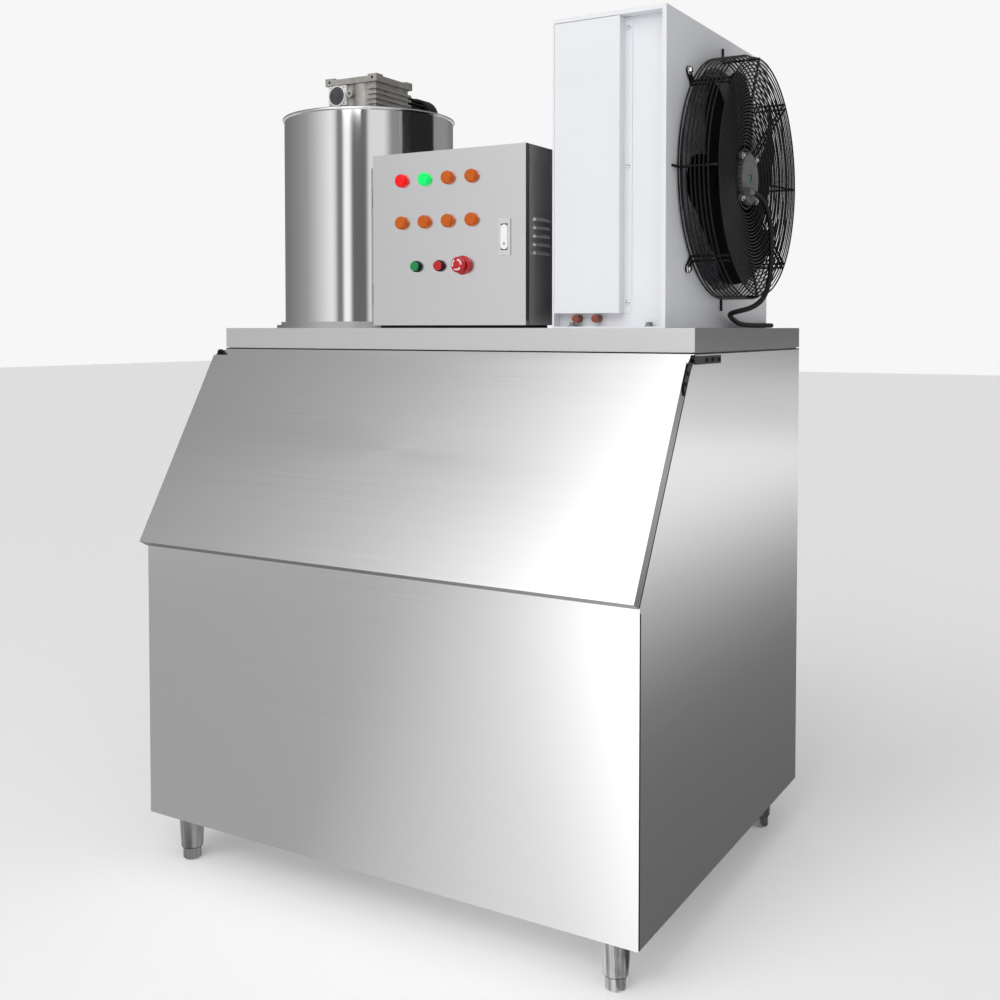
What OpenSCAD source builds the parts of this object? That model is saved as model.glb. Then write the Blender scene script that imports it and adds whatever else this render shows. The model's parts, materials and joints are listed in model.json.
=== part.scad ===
// Flake ice machine: an insulated ice bin with a sloping door. On its slab stand an ice drum with
// its gear drive, a control box, an air-cooled condenser with an axial fan, and the compressor.
// Lengths are in millimetres. x runs to the right, y to the back and z up.

/* [Bin] */
// Width of the bin
bin_w = 1200; // [1150:10:1400]
// Depth of the bin
bin_d = 940; // [930:10:1100]
// Height of the bin from its underside to the top of the slab
bin_h = 1095; // [1050:5:1200]
// Height of the upright lower front
front_h = 608; // [560:2:640]
// Lean of the sloping front from the vertical, in degrees
slope_deg = 30; // [27:1:32]
// Thickness of the insulated walls
wall_t = 50; // [40:1:60]
// Thickness of the bin floor
floor_t = 50; // [40:1:60]
// Thickness of the slab
slab_t = 50; // [40:1:60]
// Width of the open seam at the front corners
corner_seam = 1; // [0.5:0.1:2]
// Depth of the shadow groove under the slab's edge
groove_d = 5; // [3:1:8]
// Height of the shadow groove under the slab's edge
groove_h = 4; // [2:1:6]
// Set-back of the slab's front from the top of the slope
slab_set = 2; // [1:0.5:6]

/* [Bin door] */
// Thickness of the door panel
door_t = 24; // [20:1:30]
// Thickness of the gasket with the door shut
gasket_t = 4; // [3:0.5:6]
// Width of the gasket
gasket_w = 24; // [16:1:30]
// Distance of the gasket from the door's edge
gasket_in = 12; // [8:1:16]
// Overhang of the door below the slope
door_lip = 3; // [1:1:8]
// Height of the header strip that shows above the door
header_show = 32; // [26:1:40]
// Lap of the header behind the door
header_lap = 44; // [40:1:60]
// Distance of the hinge axis above the door
pivot_up = 17; // [14:1:20]
// Distance of the hinge axis in front of the door's back
pivot_out = 4; // [2:1:8]
// Thickness of the hinge strap
strap_t = 3; // [2:0.5:4]
// Length of the hinge strap along the door
strap_l = 62; // [50:1:80]
// Length of the hinge bracket on the side wall
bracket_l = 136; // [100:2:180]
// Height of the hinge bracket on the side wall
bracket_h = 16; // [12:1:20]
// Radius of the hinge eyes
eye_r = 8; // [7:0.5:9]
// Radius of the bin hinge pins
pin_r = 3; // [2.5:0.25:4]

/* [Legs and drain] */
// Height of the bin's underside above the ground
leg_h = 110; // [100:1:150]
// Distance of a leg's axis from the bin's side
leg_in_x = 70; // [60:1:110]
// Distance of a leg's axis from the bin's front and back
leg_in_y = 58; // [50:1:110]
// Radius of a leg at its top
leg_r_top = 28.5; // [26:0.5:34]
// Radius of a leg at its bottom
leg_r_end = 24.5; // [23:0.5:25.5]
// Radius of a foot
foot_r = 20.5; // [18:0.5:21]
// Height of a foot that shows below its leg
foot_show = 29; // [20:1:35]
// Length of a foot inside its leg
foot_hold = 50; // [40:1:55]
// Radius of the drain spigot
drain_r = 16; // [12:1:20]
// Length of the drain spigot below the bin
drain_l = 45; // [30:1:60]

/* [Ice drum] */
// Distance of the drum's axis from the bin's left side
drum_x = 246; // [240:2:300]
// Distance of the drum's axis behind the slab's front
drum_back = 249; // [246:1:300]
// Radius of the drum casing
drum_r = 207.5; // [190:0.5:210]
// Height of the drum on the slab
drum_h = 512; // [420:2:600]
// Sheet thickness of the drum casing
drum_sheet = 2.5; // [2:0.5:4]
// Radius of the rolled rim's bead
rim_r = 4; // [3:0.5:5]
// Width of each step of the base ring
base_step = 10.5; // [6:0.5:11]
// Height of each step of the base ring
base_step_h = 7.5; // [5:0.5:10]
// Thickness of the drum lid
lid_t = 8; // [6:1:12]
// Inner radius of the evaporator
evap_r = 150; // [130:1:155]
// Thickness of the evaporator jacket
evap_t = 22; // [16:1:26]
// Thickness of the evaporator's end flanges
evap_flange = 12; // [8:1:16]
// Width of the ledge that carries the bottom bearing
ledge_w = 10; // [8:1:14]
// Radius of the scraper shaft
shaft_r = 20; // [16:0.5:24]
// Height of the bottom bearing's hub
hub_h = 40; // [30:1:50]
// Gap between the ice blade and the evaporator
blade_gap = 3; // [1:0.5:5]
// Pitch of the teeth on the ice blade
tooth_pitch = 16; // [12:1:24]

/* [Gear drive] */
// Width of the reducer
red_w = 155; // [140:1:180]
// Depth of the reducer
red_d = 150; // [140:1:180]
// Height of the reducer
red_h = 98; // [92:1:120]
// Depth of the reducer's ribs and flanges
red_rib = 8; // [5:0.5:10]
// Distance of the worm's axis from the reducer's centre
worm_x = 42; // [36:1:44]
// Height of the worm's axis on the drum
worm_z = 54; // [52:1:58]
// Radius of the bearing cap
cap_r = 22; // [18:0.5:22]
// Radius of the drive motor over its ribs
motor_r = 46; // [40:1:48]
// Length of the drive motor without its cowl
motor_l = 180; // [140:2:220]
// Length of the motor's cowl
cowl_l = 46; // [36:1:60]

/* [Control box] */
// Distance of the box from the bin's left side
box_x = 437; // [435:1:440]
// Distance of the box behind the slab's front
box_back = 6; // [4:1:10]
// Width of the box
box_w = 390; // [380:1:400]
// Depth of the box with its door
box_d = 120; // [110:1:124]
// Height of the box
box_h = 376; // [360:1:420]
// Height of the rails under the box
box_foot = 6; // [4:1:12]
// Depth of the box door
cdoor_d = 15; // [12:1:18]
// Sheet thickness of the box
box_sheet = 2; // [1.5:0.5:3]
// Gap between the box and its door
cdoor_gap = 1; // [0.5:0.25:1.5]
// Radius of the box door's hinge knuckles
knuckle_r = 4; // [3.5:0.25:5]
// Radius of the box door's hinge pins
cpin_r = 2; // [1.5:0.25:2.5]
// Distance of the first lamp column from the door's left edge
lamp_x = 80; // [60:1:90]
// Pitch of the lamp columns
lamp_pitch = 60; // [45:1:62]
// Height of the upper lamp row above the door's lower edge
lamp_row_1 = 316; // [300:1:330]
// Height of the lower lamp row above the door's lower edge
lamp_row_2 = 224; // [200:1:240]
// Height of the button row above the door's lower edge
button_row = 128; // [110:1:140]
// Distance of the start button from the door's left edge
start_x = 118; // [100:1:120]
// Distance of the stop button from the door's left edge
stop_x = 178; // [165:1:185]
// Distance of the emergency stop from the door's left edge
estop_x = 236; // [225:1:245]
// Radius of a lamp or button bezel
bezel_r = 14; // [13:0.5:17]
// Radius of a lamp lens or button head
lens_r = 13; // [11:0.5:13]
// Radius of the threaded barrels behind the bezels
barrel_r = 11; // [9:0.5:11.5]
// Radius of the emergency-stop head
estop_r = 17; // [16:0.5:20]
// Radius of a push button
button_r = 10; // [9:0.5:10.5]
// Radius of a push button's bezel
button_ring_r = 12.2; // [12:0.1:13]
// Travel of the push buttons
button_travel = 3; // [2:0.5:4]
// Travel of the emergency stop
estop_travel = 5; // [3:0.5:6]
// Distance of the lock's axis from the door's left edge
lock_x = 340; // [330:1:350]
// Height of the lock's centre above the door's lower edge
lock_z = 184; // [170:1:200]
// Width of the lock plate
lock_w = 28; // [26:1:30]
// Height of the lock plate
lock_h = 77; // [74:1:84]
// Width of the lock lever
lever_w = 16; // [14:0.5:16]
// Length of the lock lever
lever_l = 52; // [46:1:53]
// Number of louvres in the box's side
louvre_n = 5; // [3:1:5]
// Pitch of the louvres
louvre_pitch = 17.6; // [15:0.1:18]

/* [Condenser] */
// Distance of the condenser from the bin's right side
cond_in = 72; // [60:1:74]
// Distance of the condenser from the bin's back
cond_back = 29; // [26:1:34]
// Width of the condenser
cond_w = 250; // [244:1:260]
// Depth of the condenser
cond_d = 630; // [610:2:640]
// Height of the condenser
cond_h = 630; // [600:2:700]
// Sheet thickness of the condenser casing
cond_sheet = 3; // [2:0.5:4]
// Depth of the recess in the condenser's front
recess_d = 27; // [22:1:32]
// Width of the lips round the recess
recess_lip = 9; // [6:0.5:12]
// Width of the raised front cover
cover_w = 146; // [120:1:160]
// Width of the cover's screw flange
cover_flange = 17; // [12:1:20]
// Height of the cover above the slab
cover_up = 30; // [26:1:50]
// Thickness of the coil
coil_t = 50; // [40:1:60]
// Number of fins on the coil
fin_n = 28; // [20:1:34]
// Number of tubes in the coil
tube_n = 12; // [8:1:14]
// Radius of the coil's tubes
tube_r = 5; // [4:0.5:6]

/* [Fan] */
// Distance of the fan's axis from the condenser's front
fan_back = 309; // [300:1:318]
// Height of the fan's axis above the slab
fan_up = 320; // [300:1:330]
// Radius of the fan rotor
fan_r = 226; // [200:1:228]
// Number of fan blades
blade_n = 5; // [3:1:7]
// Running gap between the fan and its ring
fan_gap = 12; // [6:1:14]
// Radius of the fan guard at the casing
guard_r = 257; // [250:1:262]
// Height of the guard's rim in front of the casing
guard_h = 87; // [80:1:100]
// Number of rings on the guard's side
side_ring_n = 4; // [3:1:5]
// Pitch of the rings on the guard's face
face_pitch = 14; // [12:1:20]
// Radius of the guard's ring wire
wire_r = 1.75; // [1.5:0.25:2]
// Radius of the guard's strut wire
strut_r = 2.5; // [2.25:0.25:3]
// Spacing of the two wires of a strut
strut_pair = 13; // [10:1:18]
// Radius of the fan motor's end plate
plate_r = 57; // [52:1:58]

/* [Refrigeration] */
// Distance of the compressor's axis to the left of the condenser
comp_beside = 288; // [278:1:298]
// Distance of the compressor's axis from the bin's back
comp_back = 240; // [230:1:250]
// Radius of the compressor
comp_r = 88; // [80:1:90]
// Height of the compressor
comp_h = 300; // [280:1:310]
// Radius of the liquid receiver
receiver_r = 50; // [40:1:52]
// Height of the liquid receiver
receiver_h = 230; // [200:1:260]

/* [Hidden] */
$fn = 48;

// Clearances: a turning or sliding fit, a seat between moving pieces, a cut that passes a face,
// and the hair line between welded wires
fit = 0.05;
seat = 0.3;
past = 1;
weld = 0.1;

// Heights and the slope of the bin
z_floor = leg_h;
z_front = leg_h + front_h;
z_slab = leg_h + bin_h - slab_t;
z_top = leg_h + bin_h;
slope_sin = sin(slope_deg);
slope_cos = cos(slope_deg);
slope_u = (z_slab - z_front) / slope_cos;
slope_y = slope_u * slope_sin;
slab_y = slope_y + slab_set;
door_u = slope_u - header_show;
pivot_u = door_u + pivot_up;
pivot_n = gasket_t + pivot_out;

// A point of the side profile, u up along the slope and n out from it
function on_slope(u, n) = [u * slope_sin - n * slope_cos, z_front + u * slope_cos + n * slope_sin];

pivot = on_slope(pivot_u, pivot_n);
ear_gap = seat;
pin_head_t = 2;
pin_head_r = pin_r + 3;
hinge_out = 2 * strap_t + ear_gap + pin_head_t;

// Leg axes, front left first
leg_x = [leg_in_x, bin_w - leg_in_x];
leg_y = [leg_in_y, bin_d - leg_in_y];

// Drum levels
drum_y = slab_y + drum_back;
chute_r = evap_r - ledge_w;
base_top = z_top + 2 * base_step_h;
drum_top = z_top + drum_h;
lid_z = drum_top - lid_t;
hub_top = base_top + hub_h;
shaft_in = 50;
stub_dx = 54;
stub_r = 11;
stub_y = drum_y + sqrt(drum_r * drum_r - stub_dx * stub_dx);
stub_l = 32;

// Control box
box_y = slab_y + box_back;
box_z = z_top + box_foot;
shell_y = box_y + cdoor_d + cdoor_gap;
shell_d = box_d - cdoor_d - cdoor_gap;
knuckle_x = box_x - knuckle_r - seat;
knuckle_y = box_y + cdoor_d + cdoor_gap / 2;
knuckle_l = 24;
knuckle_z = [box_z + 50, box_z + box_h - 50 - 2 * knuckle_l];
bezel_h = 6;
barrel_l = 28;
barrel_gap = 0.2;
estop_collar_h = 6;
estop_neck_r = 8;
estop_spigot_r = 5;
lock_depth = 15;
lever_t = 9;
lever_proud = 1;
lever_gap = 1.8;
lever_pin_r = 2;

// Condenser and fan
cond_x = bin_w - cond_in - cond_w;
cond_y = bin_d - cond_back - cond_d;
side_x = bin_w - cond_in;
fan_y = cond_y + fan_back;
fan_z = z_top + fan_up;
ring_r = fan_r + fan_gap;
rim_guard_r = guard_r - 7;
hub_ring_r = plate_r + 6;
hub_ring_wire = 3;
foot_z = strut_r + weld;
dish = 33;
stator_r = 46;
fan_shaft_r = 8;
hub_r = 60;

// Ends of the whole machine, for an origin on the ground under its middle
x_low = -hinge_out;
x_high = side_x + guard_h + wire_r;
y_low = on_slope(-door_lip, gasket_t + door_t)[0];
y_high = bin_d;

// Fan cable, from the motor's end plate over the guard's rim, along the slab and to the box
cable_r = 5.5;
cable_sides = 10;
cable_steps = 2;
cable_z = z_top + cable_r + 0.5;
gland_l = 24;
gland_at = [box_x + 268, box_y + box_d + gland_l, cable_z + 29];
rear_y = cond_y + cond_d;

// Over the fan's face, from its rim's plane
cable_on_fan = [
    [-14, -16, -31], [-12, 4, -32], [-6, 26, -40], [0, 44, -58], [4, 55, -85], [7, 59, -119],
    [9, 55, -155], [11, 44, -190], [13, 26, -221], [13, 4, -246], [7, -17, -265], [-7, -33, -277]
];
// Below the guard, from the foot of the fan's side
cable_below = [
    [62, -41, 31], [44, -38, 27], [31, -23, 23], [24, 1, 18], [21, 32, 11], [19, 70, 4], [18, 115, 1]
];
// Round the casing's rear corners
cable_right = [[11, 0, 0], [-5, 16, 0], [-27, 22, 0]];
cable_left = [[12, 17, 0], [-8, 8, 0], [-19, -12, 0], [-28, -48, 0], [-35, -101, 0]];
// To the gland: shares of the way across and forward, and the rise
cable_shares = [
    [0.02, 0.15, 0], [0.09, 0.3, 0], [0.22, 0.44, 0], [0.46, 0.59, 1], [0.71, 0.71, 7], [0.9, 0.82, 17],
    [0.985, 0.91, 26]
];
cable_turn = [cond_x, rear_y, cable_z] + cable_left[4];
cable_route = concat(
    [for (p = cable_on_fan) [side_x + guard_h, fan_y, fan_z] + p],
    [for (p = cable_below) [side_x, fan_y, cable_z] + p],
    [for (i = [1 : 3]) [side_x + 17, fan_y + 115 + i / 3 * (rear_y - fan_y - 137), cable_z]],
    [for (p = cable_right) [side_x, rear_y, cable_z] + p],
    [for (i = [1 : 3]) [side_x - 27 - i / 3 * (cond_w - 74), rear_y + 23 - (i > 2 ? 2 : 0), cable_z]],
    [for (p = cable_left) [cond_x, rear_y, cable_z] + p],
    [for (p = cable_shares) [
        cable_turn[0] + p[0] * (gland_at[0] - cable_turn[0]),
        cable_turn[1] + p[1] * (gland_at[1] - cable_turn[1]), cable_z + p[2]]],
    [gland_at]);

// Copper lines: discharge, condensate, liquid and suction
line_r = 8;
line_sides = 10;
line_steps = 3;
port_l = 14;
comp_x = cond_x - comp_beside;
comp_y = bin_d - comp_back;
receiver_x = comp_x + 155;
receiver_y = comp_y + 90;
coil_stub_x = cond_x - 28;
coil_stub_y = cond_y + cond_d - 61;
discharge_z = z_top + 235;
suction_z = z_top + 195;
coil_in_z = z_top + 485;
coil_out_z = z_top + 85;
port_up = 15;
receiver_in_z = z_top + receiver_h + port_up;
receiver_out_z = z_top + 45;
drum_in_z = z_top + 95;
drum_out_z = z_top + 435;
drum_stub = [drum_x + stub_dx, stub_y + stub_l];
discharge_end = comp_x + comp_r + port_l;
suction_end = comp_x - comp_r - port_l;
receiver_end = receiver_x - receiver_r - port_l;

// Each line leaves its port straight before it bends
lead = [10, 24];

discharge_route = [
    [discharge_end + weld, comp_y, discharge_z], [discharge_end + lead[0], comp_y, discharge_z],
    [discharge_end + lead[1], comp_y, discharge_z], [discharge_end + 48, comp_y + 16, discharge_z + 30],
    [discharge_end + 58, comp_y + 60, discharge_z + 90], [discharge_end + 66, comp_y + 110, coil_in_z - 80],
    [coil_stub_x - 76, coil_stub_y - 12, coil_in_z - 22], [coil_stub_x - lead[1], coil_stub_y, coil_in_z],
    [coil_stub_x - lead[0], coil_stub_y, coil_in_z], [coil_stub_x - weld, coil_stub_y, coil_in_z]
];
condensate_route = [
    [coil_stub_x - weld, coil_stub_y, coil_out_z], [coil_stub_x - lead[0], coil_stub_y, coil_out_z],
    [coil_stub_x - lead[1], coil_stub_y, coil_out_z], [coil_stub_x - 48, coil_stub_y - 6, coil_out_z + 34],
    [coil_stub_x - 62, coil_stub_y - 16, coil_out_z + 90],
    [receiver_x + 32, receiver_y + 44, receiver_in_z + 10],
    [receiver_x + 14, receiver_y + 20, receiver_in_z + 52], [receiver_x, receiver_y, receiver_in_z + 40],
    [receiver_x, receiver_y, receiver_in_z + lead[0]], [receiver_x, receiver_y, receiver_in_z + weld]
];
liquid_route = [
    [receiver_end - weld, receiver_y, receiver_out_z], [receiver_end - lead[0], receiver_y, receiver_out_z],
    [receiver_end - lead[1], receiver_y, receiver_out_z],
    [receiver_end - 75, receiver_y + 34, receiver_out_z],
    [receiver_end - 150, receiver_y + 58, receiver_out_z - 10],
    [drum_stub[0] + 130, drum_stub[1] + 92, drum_in_z - 42],
    [drum_stub[0] + 44, drum_stub[1] + 74, drum_in_z - 16], [drum_stub[0], drum_stub[1] + lead[1], drum_in_z],
    [drum_stub[0], drum_stub[1] + lead[0], drum_in_z], [drum_stub[0], drum_stub[1] + weld, drum_in_z]
];
suction_route = [
    [drum_stub[0], drum_stub[1] + weld, drum_out_z], [drum_stub[0], drum_stub[1] + lead[0], drum_out_z],
    [drum_stub[0], drum_stub[1] + lead[1], drum_out_z],
    [drum_stub[0] + 30, drum_stub[1] + 60, drum_out_z - 34],
    [drum_stub[0] + 76, drum_stub[1] + 68, drum_out_z - 85],
    [drum_stub[0] + 116, drum_stub[1] + 52, suction_z + 98],
    [suction_end - 56, comp_y + 62, suction_z + 45], [suction_end - 48, comp_y + 20, suction_z + 10],
    [suction_end - lead[1], comp_y, suction_z], [suction_end - lead[0], comp_y, suction_z],
    [suction_end - weld, comp_y, suction_z]
];

// Moves the machine from its corner to its origin
module place() translate([-(x_low + x_high) / 2, -(y_low + y_high) / 2, 0]) children();

// A side profile drawn in y and z, extruded to the right from x
module along_x(x, length) translate([x, 0, 0]) rotate([90, 0, 90]) linear_extrude(length) children();

// A front profile drawn in x and z, extruded to the back from y
module along_y(y, length) translate([0, y + length, 0]) rotate([90, 0, 0]) linear_extrude(length) children();

module box(low, high) translate(low) cube(high - low);

// A cylinder from a point to the back
module rod_y(at, r, length) translate(at) rotate([-90, 0, 0]) cylinder(r = r, h = length);

// A cylinder from a point to the right
module rod_x(at, r, length) translate(at) rotate([0, 90, 0]) cylinder(r = r, h = length);

// A wire between two points
module wire(a, b, r) {
    d = b - a;
    translate(a) rotate([0, acos(d[2] / norm(d)), atan2(d[1], d[0])]) cylinder(r = r, h = norm(d));
}

// The right-hand piece and its mirror on the left
module both_sides() {
    children();
    translate([bin_w, 0, 0]) mirror([1, 0, 0]) children();
}

// Points of a smooth curve through a route
function curve_point(a, b, c, d, t) =
    0.5 * (2 * b + (c - a) * t + (2 * a - 5 * b + 4 * c - d) * t * t + (3 * b - a - 3 * c + d) * t * t * t);
function curve(p, steps) = concat(
    [for (i = [0 : len(p) - 2], j = [0 : steps - 1])
        curve_point(p[max(i - 1, 0)], p[i], p[i + 1], p[min(i + 2, len(p) - 1)], j / steps)],
    [p[len(p) - 1]]);
function unit(v) = v / norm(v);
function tangents(p) = [for (i = [0 : len(p) - 1]) unit(p[min(i + 1, len(p) - 1)] - p[max(i - 1, 0)])];
// A direction across the curve that is carried from ring to ring
function carried(t, i, last) = i == len(t) ? [] :
    let (s = unit(last - (last * t[i]) * t[i])) concat([s], carried(t, i + 1, s));

// A round tube swept along a route
module swept_tube(route, r, sides, steps, first) {
    p = curve(route, steps);
    t = tangents(p);
    s = carried(t, 0, first);
    rings = len(p);
    points = [for (i = [0 : rings - 1], k = [0 : sides - 1])
        p[i] + r * (cos(360 * k / sides) * s[i] + sin(360 * k / sides) * cross(t[i], s[i]))];
    skin = [for (i = [0 : rings - 2], k = [0 : sides - 1])
        [i * sides + k, i * sides + (k + 1) % sides,
         (i + 1) * sides + (k + 1) % sides, (i + 1) * sides + k]];
    cap_a = [for (k = [0 : sides - 1]) sides - 1 - k];
    cap_b = [for (k = [0 : sides - 1]) (rings - 1) * sides + k];
    polyhedron(points, [for (f = concat(skin, [cap_a, cap_b])) [for (k = [len(f) - 1 : -1 : 0]) f[k]]]);
}

// Bin

module side_profile() polygon([
    [0, z_floor], [bin_d, z_floor], [bin_d, z_slab], [slope_y, z_slab], [0, z_front]]);

// The left wall, mitred at the front corner
module side_wall() difference() {
    along_x(0, wall_t) side_profile();
    translate([0, 0, z_floor - past]) linear_extrude(bin_h) polygon([
        [-past, -past], [wall_t + past, -past],
        [wall_t + past, wall_t + past + corner_seam], [-past, corner_seam - past]]);
}

module bin_front() color("gainsboro") place() intersection() {
    translate([0, 0, z_floor]) linear_extrude(bin_h) polygon([
        [0, 0], [bin_w, 0], [bin_w - wall_t, wall_t], [wall_t, wall_t]]);
    along_x(0, bin_w) polygon([
        [0, z_floor], [wall_t, z_floor], [wall_t, z_front + wall_t * slope_cos / slope_sin], [0, z_front]]);
}

module bin_back() color("gainsboro") place()
    box([wall_t, bin_d - wall_t, z_floor], [bin_w - wall_t, bin_d, z_slab]);

module bin_left() color("silver") place() side_wall();

module bin_right() color("silver") place() translate([bin_w, 0, 0]) mirror([1, 0, 0]) side_wall();

drain_at = [bin_w - 300, bin_d - 160];

module bin_floor() color("silver") place() difference() {
    box([wall_t, wall_t, z_floor], [bin_w - wall_t, bin_d - wall_t, z_floor + floor_t]);
    translate([drain_at[0], drain_at[1], z_floor - past])
        cylinder(r = drain_r + barrel_gap, h = floor_t + 2 * past);
}

// A slab whose underside is set in from its edge, with a round hole for the falling ice
module bin_top() color("gainsboro") place() difference() {
    union() {
        box([0, slab_y, z_slab + groove_h], [bin_w, bin_d, z_top]);
        box([groove_d, slab_y + groove_d, z_slab], [bin_w - groove_d, bin_d - groove_d, z_top - past]);
    }
    translate([drum_x, drum_y, z_slab - past]) cylinder(r = chute_r, h = slab_t + 2 * past);
}

module bin_header() color("silver") place() {
    along_x(wall_t, bin_w - 2 * wall_t) polygon([
        on_slope(door_u - header_lap, 0), on_slope(slope_u, 0),
        [slope_y + wall_t, z_slab], on_slope(door_u - header_lap, -wall_t)]);
}

module bin_door() color("whitesmoke") place() along_x(0, bin_w) polygon([
    on_slope(-door_lip, gasket_t), on_slope(door_u, gasket_t),
    on_slope(door_u, gasket_t + door_t), on_slope(-door_lip, gasket_t + door_t)]);

// A frame of soft seal on the door's back
module door_gasket() color("dimgray") place() {
    low = gasket_in;
    high = door_u - gasket_in;
    difference() {
        along_x(gasket_in, bin_w - 2 * gasket_in) polygon([
            on_slope(low, seat), on_slope(high, seat), on_slope(high, gasket_t), on_slope(low, gasket_t)]);
        along_x(gasket_in + gasket_w, bin_w - 2 * (gasket_in + gasket_w)) polygon([
            on_slope(low + gasket_w, -past), on_slope(high - gasket_w, -past),
            on_slope(high - gasket_w, gasket_t + past), on_slope(low + gasket_w, gasket_t + past)]);
    }
}

// Hinge of the bin door: the strap lies on the door's end, the bracket's ear outside it
module strap() along_x(bin_w, strap_t) difference() {
    union() {
        translate(pivot) circle(r = eye_r);
        polygon([
            on_slope(door_u - strap_l, gasket_t + 5), on_slope(door_u - strap_l + 16, gasket_t + door_t - 2),
            on_slope(door_u - 6, gasket_t + door_t - 5), on_slope(pivot_u + 1, pivot_n + eye_r - 1),
            on_slope(pivot_u - 3, pivot_n - eye_r + 2), on_slope(door_u - 8, gasket_t + 2)]);
    }
    translate(pivot) circle(r = pin_r + fit);
}

bracket_y = pivot[0] + pivot_up;
joggle_l = 34;
ear_x = bin_w + strap_t + ear_gap;

module bracket() {
    leaf_low = z_slab - 4 - bracket_h;
    box([bin_w, bracket_y, leaf_low], [bin_w + strap_t, bracket_y + bracket_l, leaf_low + bracket_h]);
    box([bin_w, bracket_y + 6, leaf_low], [ear_x + strap_t, bracket_y + 6 + joggle_l, leaf_low + bracket_h]);
    along_x(ear_x, strap_t) difference() {
        union() {
            translate(pivot) circle(r = eye_r);
            polygon([
                pivot + [0, -eye_r + 2], [bracket_y + 8, leaf_low],
                [bracket_y + 8, leaf_low + bracket_h], pivot + [-2, eye_r - 2]]);
        }
        translate(pivot) circle(r = pin_r + fit);
    }
}

module pin() {
    rod_x([bin_w - 2, pivot[0], pivot[1]], pin_r, hinge_out + 2);
    rod_x([bin_w + hinge_out - pin_head_t, pivot[0], pivot[1]], pin_head_r, pin_head_t);
}

module hinge_straps() color("#202020") place() both_sides() strap();

module hinge_brackets() color("#202020") place() both_sides() bracket();

module hinge_pins() color("#303030") place() both_sides() pin();

// Legs, feet and drain

module leg_sockets() color("silver") place() for (x = leg_x, y = leg_y) translate([x, y, 0])
    rotate_extrude() polygon([
        [foot_r + fit, foot_show], [leg_r_end, foot_show], [leg_r_top, leg_h], [0, leg_h],
        [0, foot_show + foot_hold + seat], [foot_r + fit, foot_show + foot_hold + seat]]);

module foot(x, y) {
    rim = 3;
    translate([x, y, 0]) rotate_extrude() polygon([
        [0, 0], [foot_r - rim, 0], [foot_r, rim], [foot_r, foot_show + foot_hold],
        [0, foot_show + foot_hold]]);
}

module foot_front_left() color("silver") place() foot(leg_x[0], leg_y[0]);

module foot_front_right() color("silver") place() foot(leg_x[1], leg_y[0]);

module foot_rear_left() color("silver") place() foot(leg_x[0], leg_y[1]);

module foot_rear_right() color("silver") place() foot(leg_x[1], leg_y[1]);

module drain_spigot() color("white") place() {
    bore = drain_r - 3;
    neck_r = drain_r - 1;
    flange_r = drain_r + 12;
    flange_t = 3;
    top = z_floor + floor_t;
    translate([drain_at[0], drain_at[1], 0]) rotate_extrude() polygon([
        [bore, z_floor - drain_l], [drain_r, z_floor - drain_l], [drain_r, z_floor - seat],
        [neck_r, z_floor - seat], [neck_r, top], [flange_r, top],
        [flange_r, top + flange_t], [bore, top + flange_t]]);
}

// Ice drum

module at_drum() translate([drum_x, drum_y, 0]) children();

module drum_base() color("silver") place() at_drum() rotate_extrude() polygon([
    [chute_r, z_top], [drum_r + 2 * base_step, z_top], [drum_r + 2 * base_step, z_top + base_step_h],
    [drum_r + base_step, z_top + base_step_h], [drum_r + base_step, base_top], [chute_r, base_top]]);

module drum_casing() color("silver") place() difference() {
    union() {
        at_drum() rotate_extrude() {
            translate([drum_r - drum_sheet, base_top]) square([drum_sheet, drum_h - 2 * base_step_h]);
            translate([drum_r, drum_top - rim_r]) circle(r = rim_r);
        }
        for (z = [drum_in_z, drum_out_z])
            rod_y([drum_x + stub_dx, stub_y - 2, z], stub_r, stub_l + 2);
    }
    at_drum() translate([0, 0, base_top - past])
        cylinder(r = drum_r - drum_sheet, h = drum_h + 2 * past);
}

module drum_lid() color("darkgray") place() at_drum() rotate_extrude() polygon([
    [shaft_r + 4, lid_z], [drum_r - drum_sheet - seat, lid_z],
    [drum_r - drum_sheet - seat, drum_top], [shaft_r + 4, drum_top]]);

module evaporator() color("lightsteelblue") place() at_drum() rotate_extrude() polygon([
    [evap_r, base_top], [drum_r - drum_sheet - seat, base_top],
    [drum_r - drum_sheet - seat, base_top + evap_flange], [evap_r + evap_t, base_top + evap_flange],
    [evap_r + evap_t, lid_z - evap_flange], [drum_r - drum_sheet - seat, lid_z - evap_flange],
    [drum_r - drum_sheet - seat, lid_z], [evap_r, lid_z]]);

blade_root = evap_r - 26;
blade_w = 12;
blade_low = hub_top + 24;
blade_high = lid_z - 40;
arm_h = 22;
arm_w = 24;

// The shaft turns on a collar above the bottom bearing and carries the blade on two arms
module scraper_shaft() color("silver") place() at_drum() {
    collar_h = 12;
    collar_r = shaft_r + 9;
    translate([0, 0, base_top + seat]) cylinder(r = shaft_r, h = drum_top + shaft_in - base_top - 2 * seat);
    translate([0, 0, hub_top + seat]) cylinder(r = collar_r, h = collar_h);
    for (z = [blade_low + 16, blade_high - 16 - arm_h])
        box([0, -arm_w / 2, z], [blade_root, arm_w / 2, z + arm_h]);
}

// A bar with saw teeth that break the ice off the wall
module ice_blade() color("gainsboro") place() at_drum() {
    tip = evap_r - blade_gap;
    gullet = tip - 10;
    teeth = floor((blade_high - blade_low) / tooth_pitch);
    translate([0, blade_w / 2, 0]) rotate([90, 0, 0]) linear_extrude(blade_w) polygon(concat(
        [[blade_root, blade_low + teeth * tooth_pitch], [blade_root, blade_low]],
        [for (i = [0 : teeth - 1], edge = [0, 1])
            [edge == 0 ? gullet : tip, blade_low + (i + 0.55 * edge) * tooth_pitch]],
        [[gullet, blade_low + teeth * tooth_pitch]]));
}

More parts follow.
